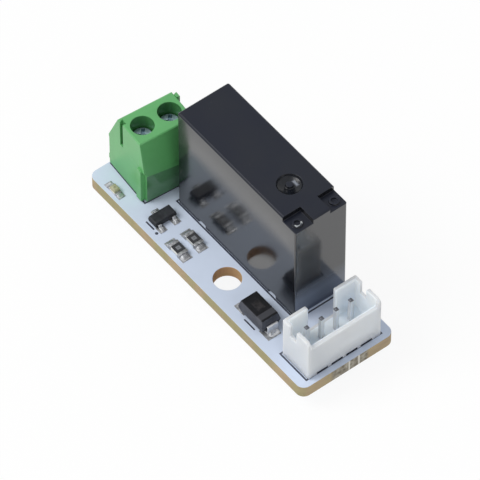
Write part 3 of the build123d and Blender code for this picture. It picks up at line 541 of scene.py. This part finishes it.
@special(Specular_IOR_Level=0.25)
def black_roof(finish, colours):
    """The case's roof, satin from the mould, with a little dust."""
    fine, clouds = finish.grain(9.0, 0.22)
    body = finish.mix(clouds, paint(19, 24, 38), paint(25, 29, 39))
    # Painted glint on the near notch's ring, along the side towards the header
    low, high, _ = box_mm("relay_case")
    ring_side = (high.x - 0.72, low.y + 1.0, high.z - 0.45)
    painted_glint = finish.patch(ring_side, (0.2, 0.5, 0.1), 0.06)
    glint_colour = finish.mix(finish.grain(6.0, 2.5)[1], paint(60, 66, 72), paint(210, 214, 216))
    dust = finish.dust(1.6, 0.13, 0.09)
    body = finish.stained(body, (painted_glint, glint_colour, 0.9), (dust, paint(120, 122, 126), 0.5))
    finish.surface(body, (fine, 0.33, 0.43), (fine, 0.004, 0.4))


@special(Specular_IOR_Level=0.3)
def black_dish(finish, colours):
    """The glossy, dished floor of the round mark in the roof, hollow round its nib, with a painted
    highlight near its far edge.
    """
    fine, clouds = finish.grain(2.0, 1.5)
    low, high, _ = box_mm("relay_case")
    from_end, from_side, mark_radius = ROOF_MARK
    x, y = high.x - from_end, low.y + from_side
    offset = vector_math(finish.tree, "SUBTRACT", finish.place, (x, y, 0))[0]
    flat = vector_math(finish.tree, "MULTIPLY", offset, (1, 1, 0))[0]
    radius = vector_math(finish.tree, "LENGTH", flat)["Value"]
    dish_depth, grain_depth = 0.42, 0.03
    share = finish.reckon("DIVIDE", radius, mark_radius)
    dish = finish.reckon("MULTIPLY", finish.reckon("POWER", share, 2.0), dish_depth)
    height = finish.reckon("ADD", dish, finish.reckon("MULTIPLY", fine, grain_depth))
    # Painted highlight on the dish's slope towards the far side
    glint_spot = (x + 0.1, y + 0.72, high.z)
    painted_glint = finish.patch(glint_spot, (0.5, 0.26, 1.0), 0.34)
    body = finish.mix(clouds, paint(8, 11, 18), paint(18, 22, 30))
    body = finish.mix(painted_glint, body, paint(150, 156, 168))
    finish.surface(body, (clouds, 0.2, 0.3), (height, 1.0, 1.0))


@special(Metallic=1.0, Coat_Roughness=0.1)
def copper_wire(finish, colours):
    """Enamelled copper."""
    fine, clouds = finish.grain(5.0, 1.5)
    body = finish.mix(clouds, paint(196, 112, 62), paint(158, 80, 44))
    coat = finish.spread(clouds, 0.4, 0.7)
    finish.surface(body, (clouds, 0.22, 0.36), (fine, 0.004, 0.4), Coat_Weight=coat)


@special(
    Subsurface_Weight=0.95, Subsurface_Scale=3.0 * MM, Subsurface_Radius=(1.0, 0.95, 0.85),
    Specular_IOR_Level=0.45,
)
def natural_nylon(finish, colours):
    """Milky nylon; the inside is painted paler than the outside, as painted light that comes through
    its walls, and faces towards the header's end carry painted shade.
    """
    nylon = colours.header
    fine, clouds = finish.grain(5.0, 0.45)
    body = finish.mix(clouds, nylon, towards(nylon, paint(206, 210, 214), 0.6))
    # Painted shade: faces towards the header's end are darker
    body = finish.mix(finish.facing("Ahead"), body, darker(nylon, 0.88))
    low, high, centre = box_mm("header_housing")
    # Painted light: the inside is paler, for light that comes through the walls
    half, wall, floor_height = (high - low) / 2, 0.35, 0.5
    inside = finish.patch(
        (centre.x, centre.y, centre.z + floor_height), (half.x - wall, half.y - wall, half.z), 0.1
    )
    body = finish.mix(inside, body, towards(nylon, paint(232, 244, 255), 0.95))
    finish.surface(body, (clouds, 0.36, 0.48), (fine, 0.006, 0.5))


@special(Metallic=1.0)
def pin_tin(finish, colours):
    """Drawn, tinned wire; the header's pins end in cropped tops, darker with a painted reflection."""
    fine, clouds = finish.grain(9.0, 0.9, (1, 1, 0.1))
    body = finish.mix(clouds, towards(colours.tin, (1, 1, 1), 0.35), colours.tin)
    row_middle = (box_mm("header_pin_1")[1] + box_mm("header_pin_4")[1]) / 2
    # Painted reflection: the tops of the header's pins are darker
    tip_reflection = finish.patch(row_middle, (1.0, 6.0, 0.2))
    body = finish.mix(tip_reflection, body, paint(96, 98, 104))
    finish.surface(body, (fine, 0.42, 0.58), (fine, 0.005, 0.5))


@special(Specular_IOR_Level=0.35)
def black_epoxy(finish, colours):
    """Moulded epoxy of the transistor, with a satin, faintly speckled top."""
    fine, clouds = finish.grain(9.0, 1.7)
    epoxy = colours.epoxy
    top = finish.mix(clouds, darker(epoxy, 0.75), towards(epoxy, paint(66, 68, 76), 0.35))
    side = finish.mix(clouds, darker(epoxy, 0.5), darker(epoxy, 0.7))
    body = finish.mix(finish.facing("Up"), side, top)
    finish.surface(body, (fine, 0.38, 0.6), (fine, 0.02, 0.5))


@special(Specular_IOR_Level=0.16)
def diode_epoxy(finish, colours):
    """Moulded epoxy of the diode, with the pale band that marks its cathode end."""
    _, high, centre = box_mm("diode_body")
    fine, clouds = finish.grain(8.0, 1.3)
    top = finish.mix(clouds, darker(colours.epoxy, 0.25), darker(colours.epoxy, 0.6))
    side = finish.mix(clouds, paint(62, 64, 72), paint(80, 82, 90))
    blocks = finish.grain(4.5, 2.6, (1.0, 0.7, 1.0))[1]
    mark_off_centre, band_from_end = 0.25, 0.83
    mark = finish.patch((centre.x - mark_off_centre, centre.y, high.z), (0.75, 0.55, 0.3), 0.12)
    faint = finish.reckon("MULTIPLY", mark, finish.spread(blocks, 0.0, 0.4))
    band = finish.patch((high.x - band_from_end, centre.y, high.z), (0.4, 1.4, 0.3))
    top = finish.stained(top, (faint, paint(84, 80, 80)), (band, paint(66, 67, 72)))
    body = finish.mix(finish.facing("Up"), side, top)
    finish.surface(body, (fine, 0.38, 0.6), (fine, 0.025, 0.6))


@special(Specular_IOR_Level=0.5)
def resistor_glaze(finish, colours):
    """Dark glaze on white ceramic, with a plain grey mark in the window's middle."""
    fine, clouds = finish.grain(8.0, 1.7)
    top = finish.mix(clouds, paint(26, 27, 32), paint(38, 40, 46))
    for node in ("resistor_1_body", "resistor_2_body"):
        _, high, centre = box_mm(node)
        window = (centre.x, centre.y, high.z)
        mark, core = [
            finish.patch(window, half, 0.08) for half in ((0.28, 0.3, 0.3), (0.12, 0.16, 0.3))
        ]
        top = finish.stained(
            top, (mark, paint(142, 146, 152), 0.75), (core, paint(60, 62, 68), 0.55)
        )
    ceramic = finish.mix(clouds, paint(226, 226, 222), paint(204, 204, 198))
    body = finish.mix(finish.facing("Up"), ceramic, top)
    finish.surface(body, (fine, 0.28, 0.45), (fine, 0.006, 0.5))


@special(Transmission_Weight=0.35, IOR=1.5)
def led_clear(finish, colours):
    """Clear, faintly yellow resin over the dark spot of the die."""
    fine, clouds = finish.grain(5.0, 2.4)
    body = finish.mix(clouds, colours.lens, towards(colours.lens, paint(176, 170, 126), 0.6))
    die_half = 0.13
    die = finish.patch(box_mm("led_lens")[2], (die_half, die_half, 1.0), 0.12)
    body = finish.mix(die, body, paint(112, 108, 78), 0.8)
    finish.surface(body, (clouds, 0.1, 0.22), (fine, 0.006, 0.4))


def finish_of(name):
    """The named finish, made once."""
    if f"{name}_finish" not in bpy.data.materials:
        colours = bpy.context.scene.relay_module_colours
        if name in special_finishes:
            make, constants = special_finishes[name]
            make(Finish(name, **constants), colours)
        else:
            *values, named = plain_finishes(colours)[name]
            plain_finish(name, *values, **named)
    return bpy.data.materials[f"{name}_finish"]


# Making pieces


def in_scene(name, data):
    """A new object in the scene."""
    item = bpy.data.objects.new(name, data)
    bpy.context.scene.collection.objects.link(item)
    return item


bodies = frame["record"]["behaviour"]["bodies"]
node_body = {node: body for body, nodes in bodies.items() for node in nodes}


def new_piece(name, mesh, slot, body, *replaced):
    """A finished piece at the origin, riding on its body and standing for its CAD nodes."""
    piece = in_scene(name, mesh)
    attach(piece, body)
    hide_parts(*replaced)
    return piece


def bake(mesh, prepare):
    """The mesh as it comes out of the modifiers that prepare adds, all of them removed again."""
    worker = in_scene("worker", mesh)
    prepare(worker)
    bpy.context.view_layer.update()
    view = bpy.context.evaluated_depsgraph_get()
    baked = bpy.data.meshes.new_from_object(worker.evaluated_get(view), depsgraph=view)
    worker.modifiers.clear()
    bpy.data.objects.remove(worker)
    return baked


def merged_copy(node, whole_faces=True):
    """A CAD node's loose triangles joined at their edges, and into flat faces with no holes."""
    shape = bmesh.new()
    shape.from_mesh(frame["nodes"][node].data)
    bmesh.ops.remove_doubles(shape, verts=shape.verts, dist=0.0002 * MM)
    flat = [edge for edge in shape.edges if whole_faces and edge.calc_face_angle(1) < FLAT_ANGLE]
    for edge in sorted(flat, key=lambda edge: -edge.calc_length()):
        if not edge.is_valid or len(edge.link_faces) != 2:
            continue
        first, second = edge.link_faces
        shared = [side for side in first.edges if second in side.link_faces]
        touching = set(first.verts) & set(second.verts)
        if first != second and len(touching) == len(shared) + 1:
            bmesh.utils.face_join([first, second])
    mesh = bpy.data.meshes.new(node)
    shape.to_mesh(mesh)
    shape.free()
    mesh.shade_smooth()
    mesh.materials.clear()
    return mesh


def rounded(radius, clamp=False):
    """Adds a small round along every sharp edge, with flat faces kept flat in their shading."""

    def prepare(worker):
        bevel = worker.modifiers.new("Round", "BEVEL")
        bevel.width = radius
        bevel.segments = 3
        bevel.limit_method = "ANGLE"
        bevel.angle_limit = SHARP_ANGLE
        bevel.use_clamp_overlap = clamp
        normals = worker.modifiers.new("Normals", "WEIGHTED_NORMAL")
        normals.keep_sharp = True

    return prepare


def round_corners(mesh, node, radius):
    """Rounds the upright edges at the four outer corners of a node's box."""
    low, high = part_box(node)

    def at_corner(vertex):
        across = min(vertex.co.x - low.x, high.x - vertex.co.x)
        along = min(vertex.co.y - low.y, high.y - vertex.co.y)
        return max(across, along) < 0.01 * MM

    shape = bmesh.new()
    shape.from_mesh(mesh)
    upright = [edge for edge in shape.edges if all(map(at_corner, edge.verts))]
    bmesh.ops.bevel(
        shape, geom=upright, offset=radius, offset_type="OFFSET", segments=5, profile=0.5,
        affect="EDGES", clamp_overlap=True,
    )
    shape.to_mesh(mesh)
    shape.free()
    mesh.shade_smooth()


def dress(node, slot, radius, *materials, fine=False, corner_radius=0):
    """Replaces a CAD node with the same shape, its edges rounded, in the given finish.

    A fine piece has edges too short for the whole round, which is then held back.
    """
    mesh = merged_copy(node, whole_faces=not fine)
    if corner_radius:
        round_corners(mesh, node, corner_radius)
    if radius:
        mesh = bake(mesh, rounded(radius, clamp=fine))
    mesh.name = node
    for name in materials or (slot,):
        mesh.materials.append(finish_of(name))
    return new_piece(f"{node}_look", mesh, slot, node_body[node], node)


# Geometry Nodes


def geometry_tree(name, inputs):
    """A geometry node group that also takes a finish, with the sockets of its start."""
    tree = bpy.data.node_groups.new(name, "GeometryNodeTree")
    tree.is_modifier = True
    add_inputs(tree, [("Geometry", "Geometry", None), *inputs, ("Finish", "Material", None)])
    tree.interface.new_socket("Geometry", in_out="OUTPUT", socket_type="NodeSocketGeometry")
    return tree, tree.nodes.new("NodeGroupInput").outputs


def close_tree(tree, start, geometry):
    """Ends a tree: instances made real, shaded smooth, in the finish that came in."""
    real = output(tree, "GeometryNodeRealizeInstances", {"Geometry": geometry})
    smooth = output(tree, "GeometryNodeSetShadeSmooth", {"Geometry": real})
    inputs = {"Geometry": smooth, "Material": start["Finish"]}
    dressed = output(tree, "GeometryNodeSetMaterial", inputs)
    add_node(tree, "NodeGroupOutput", {"Geometry": dressed})
    return tree


def grow(mesh, tree, **values):
    """The mesh that a tree makes of another mesh, with the given inputs."""

    def prepare(worker):
        modifier = worker.modifiers.new("Grow", "NODES")
        modifier.node_group = tree
        for item in tree.interface.items_tree:
            key = item.name.replace(" ", "_").lower()
            if item.in_out == "INPUT" and key in values:
                modifier[item.identifier] = values[key]

    return bake(mesh, prepare)


def vector(tree, **parts):
    return output(tree, "ShaderNodeCombineXYZ", parts)


def moved(tree, geometry, offset):
    return output(tree, "GeometryNodeTransform", {"Geometry": geometry, "Translation": offset})


def joined(tree, *geometries):
    node = add_node(tree, "GeometryNodeJoinGeometry")
    for geometry in geometries:
        tree.links.new(geometry, node.inputs["Geometry"])
    return node.outputs[0]


def copies(tree, points, instance, **inputs):
    inputs = {"Points": points, "Instance": instance, **inputs}
    return output(tree, "GeometryNodeInstanceOnPoints", inputs)


def helix(tree, radius, height, turns, steps, sides, thickness):
    """A tube or ridge wound round the Z axis, from 0 up to the height."""
    line = output(
        tree, "GeometryNodeCurveSpiral",
        {"Resolution": steps, "Rotations": turns, "Start Radius": radius, "End Radius": radius,
         "Height": height},
    )
    inputs = {"Resolution": sides, "Radius": thickness}
    profile = output(tree, "GeometryNodeCurvePrimitiveCircle", inputs)
    inputs = {"Curve": line, "Profile Curve": profile, "Fill Caps": True}
    return output(tree, "GeometryNodeCurveToMesh", inputs)


def pin_row_tree():
    """Repeats a pin along a row."""
    tree, start = geometry_tree("pin row", [("Count", "Int", 4), ("Step", "Vector", (0, 2 * MM, 0))])
    row = output(tree, "GeometryNodeMeshLine", {"Count": start["Count"], "Offset": start["Step"]})
    return close_tree(tree, start, copies(tree, row, start["Geometry"]))


def thread_tree():
    """Winds a low ridge round a screw's shank and joins it to the screw."""
    tree, start = geometry_tree(
        "screw thread",
        [("Foot", "Vector", (0, 0, 0)), ("Shank Radius", "Float", 0.8 * MM),
         ("Length", "Float", 3 * MM), ("Pitch", "Float", 0.4 * MM), ("Ridge", "Float", 0.05 * MM)],
    )
    turns = calculate(tree, "DIVIDE", start["Length"], start["Pitch"])
    ridge = helix(tree, start["Shank Radius"], start["Length"], turns, 28, 4, start["Ridge"])
    return close_tree(tree, start, joined(tree, moved(tree, ridge, start["Foot"]), start["Geometry"]))


def winding_tree():
    """Winds the coil's outer layer of wire over the layers below it."""
    tree, start = geometry_tree(
        "coil winding",
        [("Foot", "Vector", (0, 0, 0)), ("Radius", "Float", 2.6 * MM), ("Height", "Float", 6.4 * MM),
         ("Wire", "Float", 0.1 * MM)],
    )
    wire, height = start["Wire"], start["Height"]
    half = calculate(tree, "MULTIPLY", wire, 0.5)
    run = calculate(tree, "SUBTRACT", height, wire)
    radius = calculate(tree, "SUBTRACT", start["Radius"], half)
    turns = calculate(tree, "DIVIDE", run, wire)
    outer = moved(tree, helix(tree, radius, run, turns, 36, 6, half), vector(tree, Z=half))
    drum = output(tree, "GeometryNodeMeshCylinder", {"Vertices": 48, "Radius": radius, "Depth": run})
    inner = moved(tree, drum, vector(tree, Z=calculate(tree, "MULTIPLY", height, 0.5)))
    return close_tree(tree, start, moved(tree, joined(tree, outer, inner), start["Foot"]))


def fillet_tree():
    """Sets a solder fillet at each point: hollow outwards, rounded off towards its sides."""
    tree, start = geometry_tree("solder fillets", [("Hollow", "Float", 1.9)])

    def reckon(operation, *values):
        return calculate(tree, operation, *values)

    block = output(
        tree, "GeometryNodeMeshCube",
        {"Size": (1, 1, 1), "Vertices X": 11, "Vertices Y": 11, "Vertices Z": 2},
    )
    x, y, z = separate(tree, output(tree, "GeometryNodeInputPosition"))
    along = reckon("ADD", x, 0.5)
    above = reckon("ADD", z, 0.5)
    side = reckon("MULTIPLY", reckon("ABSOLUTE", y), 2.0)
    left = reckon("MAXIMUM", reckon("SUBTRACT", 1.0, along), 0.0)
    slope = reckon("POWER", left, start["Hollow"])
    shoulder = reckon("SUBTRACT", 1.0, reckon("POWER", side, 5.0))
    height = reckon("MULTIPLY", reckon("MULTIPLY", slope, shoulder), above)
    height = reckon("ADD", height, reckon("MULTIPLY", above, 0.03))
    # The toe draws in, so that the outline on the pad is round
    toe = reckon("SUBTRACT", 1.0, reckon("MULTIPLY", reckon("POWER", along, 3.0), 0.25))
    drawn_in = reckon("SUBTRACT", 1.0, reckon("MULTIPLY", reckon("POWER", side, 4.0), 0.22))
    new_place = vector(
        tree, X=reckon("MULTIPLY", along, drawn_in), Y=reckon("MULTIPLY", y, toe), Z=height
    )
    fillet = output(tree, "GeometryNodeSetPosition", {"Geometry": block, "Position": new_place})
    kind, vectors = "GeometryNodeInputNamedAttribute", {"data_type": "FLOAT_VECTOR"}
    size = output(tree, kind, {"Name": "fillet_size"}, **vectors)
    turn = output(tree, kind, {"Name": "fillet_turn"}, **vectors)
    fillets = copies(tree, start["Geometry"], fillet, Rotation=turn, Scale=size)
    return close_tree(tree, start, fillets)


def solder_points():
    """One point for each fillet, with its size and turn, read from the metal ends that it climbs."""
    spread = bpy.context.scene.relay_module_sizes.solder_spread
    pad_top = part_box("chip_pads")[1].z
    diode_climb = 0.34 * MM
    ends = []
    # Shares of the spread, of the end's width and of its height; the diode's leads are taller
    for node, reach, width, height in (
        ("resistor_1_caps", 1.5, 1.02, 0.78), ("resistor_2_caps", 1.5, 1.02, 0.78),
        ("led_caps", 1.1, 1.02, 0.9), ("diode_leads", 1.3, 1.05, None),
    ):
        low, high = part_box(node)
        climb = (high.z - pad_top) * height if height else diode_climb
        for side, edge in ((-1, low.x), (1, high.x)):
            size = (spread * reach, (high.y - low.y) * width, climb)
            ends.append((edge, (low.y + high.y) / 2, side, size))
    low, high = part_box("transistor_legs")
    leg_width, leg_climb, leg_inset = 0.66 * MM, 0.26 * MM, 0.21 * MM
    for side, edge, row in (
        (-1, low.x, (low.y + high.y) / 2), (1, high.x, low.y + leg_inset),
        (1, high.x, high.y - leg_inset),
    ):
        ends.append((edge, row, side, (spread * 0.8, leg_width, leg_climb)))
    mesh = bpy.data.meshes.new("fillet_points")
    mesh.from_pydata([(x, y, pad_top) for x, y, _, _ in ends], [], [])
    sizes = mesh.attributes.new("fillet_size", "FLOAT_VECTOR", "POINT")
    turns = mesh.attributes.new("fillet_turn", "FLOAT_VECTOR", "POINT")
    for index, (_, _, side, size) in enumerate(ends):
        sizes.data[index].vector = size
        turns.data[index].vector = (0, 0, math.pi if side < 0 else 0)
    return mesh


# Operators


class RELAYMODULE_OT_board(bpy.types.Operator):
    """The board with its lacquer, printed outlines and tinned pads"""

    bl_idname = "relay_module.board"
    bl_label = "Board"

    def execute(self, context):
        dress("circuit_board", "board_lacquer", context.scene.relay_module_sizes.board_radius)
        legend = dress("legend_print", "dark_print", 0)
        # The header's outline runs under its front foot, and shows only in the foot's gaps
        header_front, foot_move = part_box("header_housing")[1].x, 0.26 * MM
        # The line along the relay's near side lies close to the case
        relay_front, line_move, line_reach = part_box("relay_case")[0].y, 0.18 * MM, 0.4 * MM
        line_start, line_end = -12 * MM, 9.3 * MM
        for vertex in legend.data.vertices:
            if vertex.co.x > header_front:
                vertex.co.x -= foot_move
            beside_relay = line_start < vertex.co.x < line_end
            if beside_relay and relay_front - line_reach < vertex.co.y < relay_front:
                vertex.co.y += line_move
        pad_radius = 0.015 * MM
        for node in ("chip_pads", "ring_pads"):
            dress(node, "tinned_pad", pad_radius)
        return {"FINISHED"}


class RELAYMODULE_OT_solder(bpy.types.Operator):
    """Solder fillets on the chip pads and round the leads under the board"""

    bl_idname = "relay_module.solder"
    bl_label = "Solder"

    def execute(self, context):
        mesh = grow(solder_points(), fillet_tree(), hollow=1.9, finish=finish_of("solder"))
        new_piece("chip_solder_look", mesh, "solder", "module", "chip_solder")
        for node in ("terminal_solder", "relay_solder", "header_solder"):
            dress(node, "solder", 0)
        return {"FINISHED"}


class RELAYMODULE_OT_terminal(bpy.types.Operator):
    """The green terminal block with its screws, rising cages and contact posts"""

    bl_idname = "relay_module.terminal"
    bl_label = "Terminal block"

    def execute(self, context):
        sizes = context.scene.relay_module_sizes
        dress("terminal_housing", "green_plastic", sizes.mould_radius, fine=True)
        tree = thread_tree()
        screw_radius, cage_radius, post_radius = 0.04 * MM, 0.06 * MM, 0.05 * MM
        for way in (1, 2):
            screw = f"terminal_screw_{way}"
            low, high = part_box(screw)
            mesh = grow(
                bake(merged_copy(screw, whole_faces=False), rounded(screw_radius, clamp=True)), tree,
                foot=((low.x + high.x) / 2, (low.y + high.y) / 2, low.z + 0.1 * MM),
                shank_radius=0.79 * MM, length=2.7 * MM, pitch=sizes.thread_pitch, ridge=0.05 * MM,
                finish=finish_of("screw_steel"),
            )
            new_piece(f"{screw}_look", mesh, "screw_steel", f"screw_{way}", screw)
            dress(f"wire_cage_{way}", "cage_steel", cage_radius, fine=True)
            dress(f"contact_post_{way}", "tinned_brass", post_radius)
        return {"FINISHED"}


def finish_roof(case):
    """Gives the case's level roof faces their satin, and the round mark's floor its polish."""
    low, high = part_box("relay_case")
    from_end, from_side, mark_radius = ROOF_MARK
    mark = Vector((high.x - from_end * MM, low.y + from_side * MM))
    roof_depth, floor_depth = 1.5 * MM, 0.15 * MM
    roof, dish = 1, 2
    for face in case.data.polygons:
        depth = high.z - face.center.z
        if face.normal.z > 0.35 and depth < roof_depth:
            near_mark = (face.center.xy - mark).length < mark_radius * MM
            face.material_index = dish if near_mark and depth > floor_depth else roof


class RELAYMODULE_OT_relay(bpy.types.Operator):
    """The relay's case, its coil and its contacts"""

    bl_idname = "relay_module.relay"
    bl_label = "Relay"

    def execute(self, context):
        sizes = context.scene.relay_module_sizes
        case = dress(
            "relay_case", "black_case", sizes.case_radius, "black_case", "black_roof", "black_dish"
        )
        # The rim stands on the board
        rim_top, rim_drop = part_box("relay_case")[0].z + 0.07 * MM, 0.09 * MM
        for vertex in case.data.vertices:
            if vertex.co.z < rim_top:
                vertex.co.z -= rim_drop
        finish_roof(case)
        plug_radius, bobbin_radius, metal_radius = 0.08 * MM, 0.06 * MM, 0.04 * MM
        dress("relay_plug", "black_plug", plug_radius)
        dress("coil_bobbin", "bobbin_plastic", bobbin_radius)
        low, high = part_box("coil_winding")
        middle = (low + high) / 2
        mesh = grow(
            bpy.data.meshes.new("winding_start"), winding_tree(),
            foot=(middle.x, middle.y, low.z), radius=(high.x - low.x) / 2, height=high.z - low.z,
            wire=sizes.wire_diameter, finish=finish_of("copper_wire"),
        )
        new_piece("coil_winding_look", mesh, "copper_wire", "module", "coil_winding")
        for node, slot in (
            ("coil_core", "coil_iron"), ("relay_yoke", "coil_iron"), ("relay_armature", "coil_iron"),
            ("contact_spring", "spring_bronze"), ("moving_contact", "contact_silver"),
            ("fixed_contact", "contact_silver"), ("contact_arm", "tinned_brass"),
            ("coil_pin_1", "pin_tin"), ("coil_pin_2", "pin_tin"), ("common_pin", "tinned_brass"),
        ):
            dress(node, slot, metal_radius)
        return {"FINISHED"}


def shade_foot_gaps(housing):
    """Gives the gaps between the feet at the header's front a dark finish of painted shade."""
    low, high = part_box("header_housing")
    gap_height, gap_depth, skin, corner = 0.37 * MM, 1.05 * MM, 0.1 * MM, 0.5 * MM
    for face in housing.data.polygons:
        x, y, z = face.center
        inside = x < high.x - skin or abs(face.normal.y) > 0.9
        between = low.y + corner < y < high.y - corner
        if inside and between and z < low.z + gap_height and x > high.x - gap_depth:
            face.material_index = 1


class RELAYMODULE_OT_header(bpy.types.Operator):
    """The nylon header and its four pins"""

    bl_idname = "relay_module.header"
    bl_label = "Header"

    def execute(self, context):
        sizes = context.scene.relay_module_sizes
        housing = dress(
            "header_housing", "natural_nylon", sizes.header_radius, "natural_nylon", "nylon_gap",
            corner_radius=sizes.header_corner,
        )
        shade_foot_gaps(housing)
        first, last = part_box("header_pin_1"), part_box("header_pin_4")
        step = (last[0] - first[0]) / 3
        pin_radius = 0.06 * MM
        pin = bake(merged_copy("header_pin_1"), rounded(pin_radius))
        mesh = grow(pin, pin_row_tree(), count=4, step=tuple(step), finish=finish_of("pin_tin"))
        new_piece("header_pins_look", mesh, "pin_tin", "module", *HEADER_PINS)
        return {"FINISHED"}


class RELAYMODULE_OT_chips(bpy.types.Operator):
    """Transistor, resistors, diode and light-emitting diode"""

    bl_idname = "relay_module.chips"
    bl_label = "Chip parts"

    def execute(self, context):
        radius = context.scene.relay_module_sizes.chip_radius
        dress("transistor_body", "black_epoxy", radius * 2)
        dress("transistor_legs", "pin_tin", radius * 0.8)
        for number in (1, 2):
            dress(f"resistor_{number}_body", "resistor_glaze", radius * 0.3)
            dress(f"resistor_{number}_caps", "tinned_pad", radius, fine=True)
        dress("diode_body", "black_epoxy", radius * 2.2, "diode_epoxy")
        dress("diode_leads", "pin_tin", radius * 1.5)
        dress("led_base", "led_white", radius * 0.6)
        dress("led_caps", "tinned_pad", radius * 0.6)
        dress("led_lens", "led_clear", radius * 1.6)
        return {"FINISHED"}


# Stage


def lamp(name, place, level, colour):
    """A square area lamp that lights a surface facing it at the part by the level."""
    target = Vector((0, 0, 5 * MM))
    light = bpy.data.lights.new(name, "AREA")
    light.shape = "SQUARE"
    light.size = 0.5
    light.color = colour
    offset = Vector(place) - target
    light.energy = level * math.pi ** 2 * offset.length ** 2
    stand = in_scene(name, light)
    stand.location = place
    stand.rotation_euler = offset.to_track_quat("Z", "Y").to_euler()


def background_share(tree):
    """1 for rays that show the plain background: from the camera, off gloss, or through glass."""
    path = add_node(tree, "ShaderNodeLightPath")
    first = calculate(tree, "MAXIMUM", path.outputs["Is Camera Ray"], path.outputs["Is Glossy Ray"])
    return calculate(tree, "MAXIMUM", first, path.outputs["Is Transmission Ray"])


def blend(tree, share, first, second):
    """A shader between two others."""
    return output(tree, "ShaderNodeMixShader", {0: share, 1: first, 2: second})


def make_floor(colour):
    """A pale floor under the part that looks as plain as the background and takes soft shadows."""
    half, ground = 2.0, cad_box[0].z
    mesh = bpy.data.meshes.new("floor")
    mesh.from_pydata(
        [(-half, -half, ground), (half, -half, ground), (half, half, ground), (-half, half, ground)],
        [], [(0, 1, 2, 3)],
    )
    floor = in_scene("floor", mesh)
    material = bpy.data.materials.new("studio_floor")
    material.use_nodes = True
    tree = material.node_tree
    shader = tree.nodes["Principled BSDF"]
    shader.inputs["Base Color"].default_value = (*colour, 1)
    shader.inputs["Roughness"].default_value = 0.9
    shader.inputs["Specular IOR Level"].default_value = 0.0
    glow = output(tree, "ShaderNodeEmission", {"Color": (1, 1, 1, 1), "Strength": 1.0})
    share = calculate(tree, "MULTIPLY", background_share(tree), 0.9)
    lit = blend(tree, share, shader.outputs[0], glow)
    # From below, the floor is seen through, so that the underside can be looked at
    below = add_node(tree, "ShaderNodeNewGeometry").outputs["Backfacing"]
    shown = blend(tree, below, lit, output(tree, "ShaderNodeBsdfTransparent"))
    tree.links.new(shown, tree.nodes["Material Output"].inputs["Surface"])
    floor.data.materials.append(material)


def make_sky(level):
    """Even light from all round, in front of a white background."""
    world = bpy.data.worlds.new("studio")
    bpy.context.scene.world = world
    world.use_nodes = True
    tree = world.node_tree
    tree.nodes.clear()
    light, white = [
        output(tree, "ShaderNodeBackground", {"Color": (*colour, 1), "Strength": strength})
        for colour, strength in (((0.97, 0.985, 1), level), ((1, 1, 1), 1.0))
    ]
    shown = blend(tree, background_share(tree), light, white)
    add_node(tree, "ShaderNodeOutputWorld", {"Surface": shown})


def make_camera():
    """The camera as it stood for the photograph."""
    camera = bpy.data.cameras.new("camera")
    camera.lens = 487.05
    camera.sensor_width = 36.0
    camera.shift_x = 0.00082
    camera.shift_y = -0.00134
    camera.clip_start = 0.05
    camera.clip_end = 20
    eye = in_scene("camera", camera)
    eye.location = (0.34202558, -0.26463881, 0.55376153)
    eye.rotation_euler = [math.radians(turn) for turn in (38.412875, 0.10348, 51.962666)]
    bpy.context.scene.camera = eye


class RELAYMODULE_OT_stage(bpy.types.Operator):
    """Pale floor, soft studio light and the camera at the photograph's angle"""

    bl_idname = "relay_module.stage"
    bl_label = "Stage"

    def execute(self, context):
        stage = context.scene.relay_module_stage
        make_floor(stage.floor_colour)
        make_sky(stage.sky_level)
        lamp("key", (-0.35, -0.5, 0.75), stage.key_level, (1.0, 0.99, 0.97))
        lamp("fill", (0.7, -0.1, 0.45), stage.fill_level, (0.97, 0.98, 1.0))
        make_camera()
        context.scene.view_settings.view_transform = "Standard"
        return {"FINISHED"}


STEPS = (
    RELAYMODULE_OT_board, RELAYMODULE_OT_solder, RELAYMODULE_OT_terminal, RELAYMODULE_OT_relay,
    RELAYMODULE_OT_header, RELAYMODULE_OT_chips, RELAYMODULE_OT_stage,
)
SETTINGS = {
    "relay_module_colours": RelayModuleColours,
    "relay_module_sizes": RelayModuleSizes,
    "relay_module_stage": RelayModuleStage,
}


class RELAYMODULE_PT_pieces(bpy.types.Panel):
    bl_idname = "RELAYMODULE_PT_pieces"
    bl_label = "Relay Module"
    bl_space_type = "VIEW_3D"
    bl_region_type = "UI"
    bl_category = "Relay Module"

    def draw(self, context):
        layout = self.layout
        for step in STEPS:
            layout.operator(step.bl_idname)
        for settings in SETTINGS:
            box = layout.box()
            holder = getattr(context.scene, settings)
            for name in holder.bl_rna.properties.keys():
                if name not in {"rna_type", "name"}:
                    box.prop(holder, name)


CLASSES = (*SETTINGS.values(), *STEPS, RELAYMODULE_PT_pieces)


def register():
    for item in CLASSES:
        bpy.utils.register_class(item)
    for name, kind in SETTINGS.items():
        setattr(bpy.types.Scene, name, bpy.props.PointerProperty(type=kind))


def unregister():
    for name in SETTINGS:
        delattr(bpy.types.Scene, name)
    for item in reversed(CLASSES):
        bpy.utils.unregister_class(item)


def main():
    register()
    bpy.ops.relay_module.board()
    bpy.ops.relay_module.solder()
    bpy.ops.relay_module.terminal()
    bpy.ops.relay_module.relay()
    bpy.ops.relay_module.header()
    bpy.ops.relay_module.chips()
    bpy.ops.relay_module.stage()


if __name__ == "__main__":
    main()
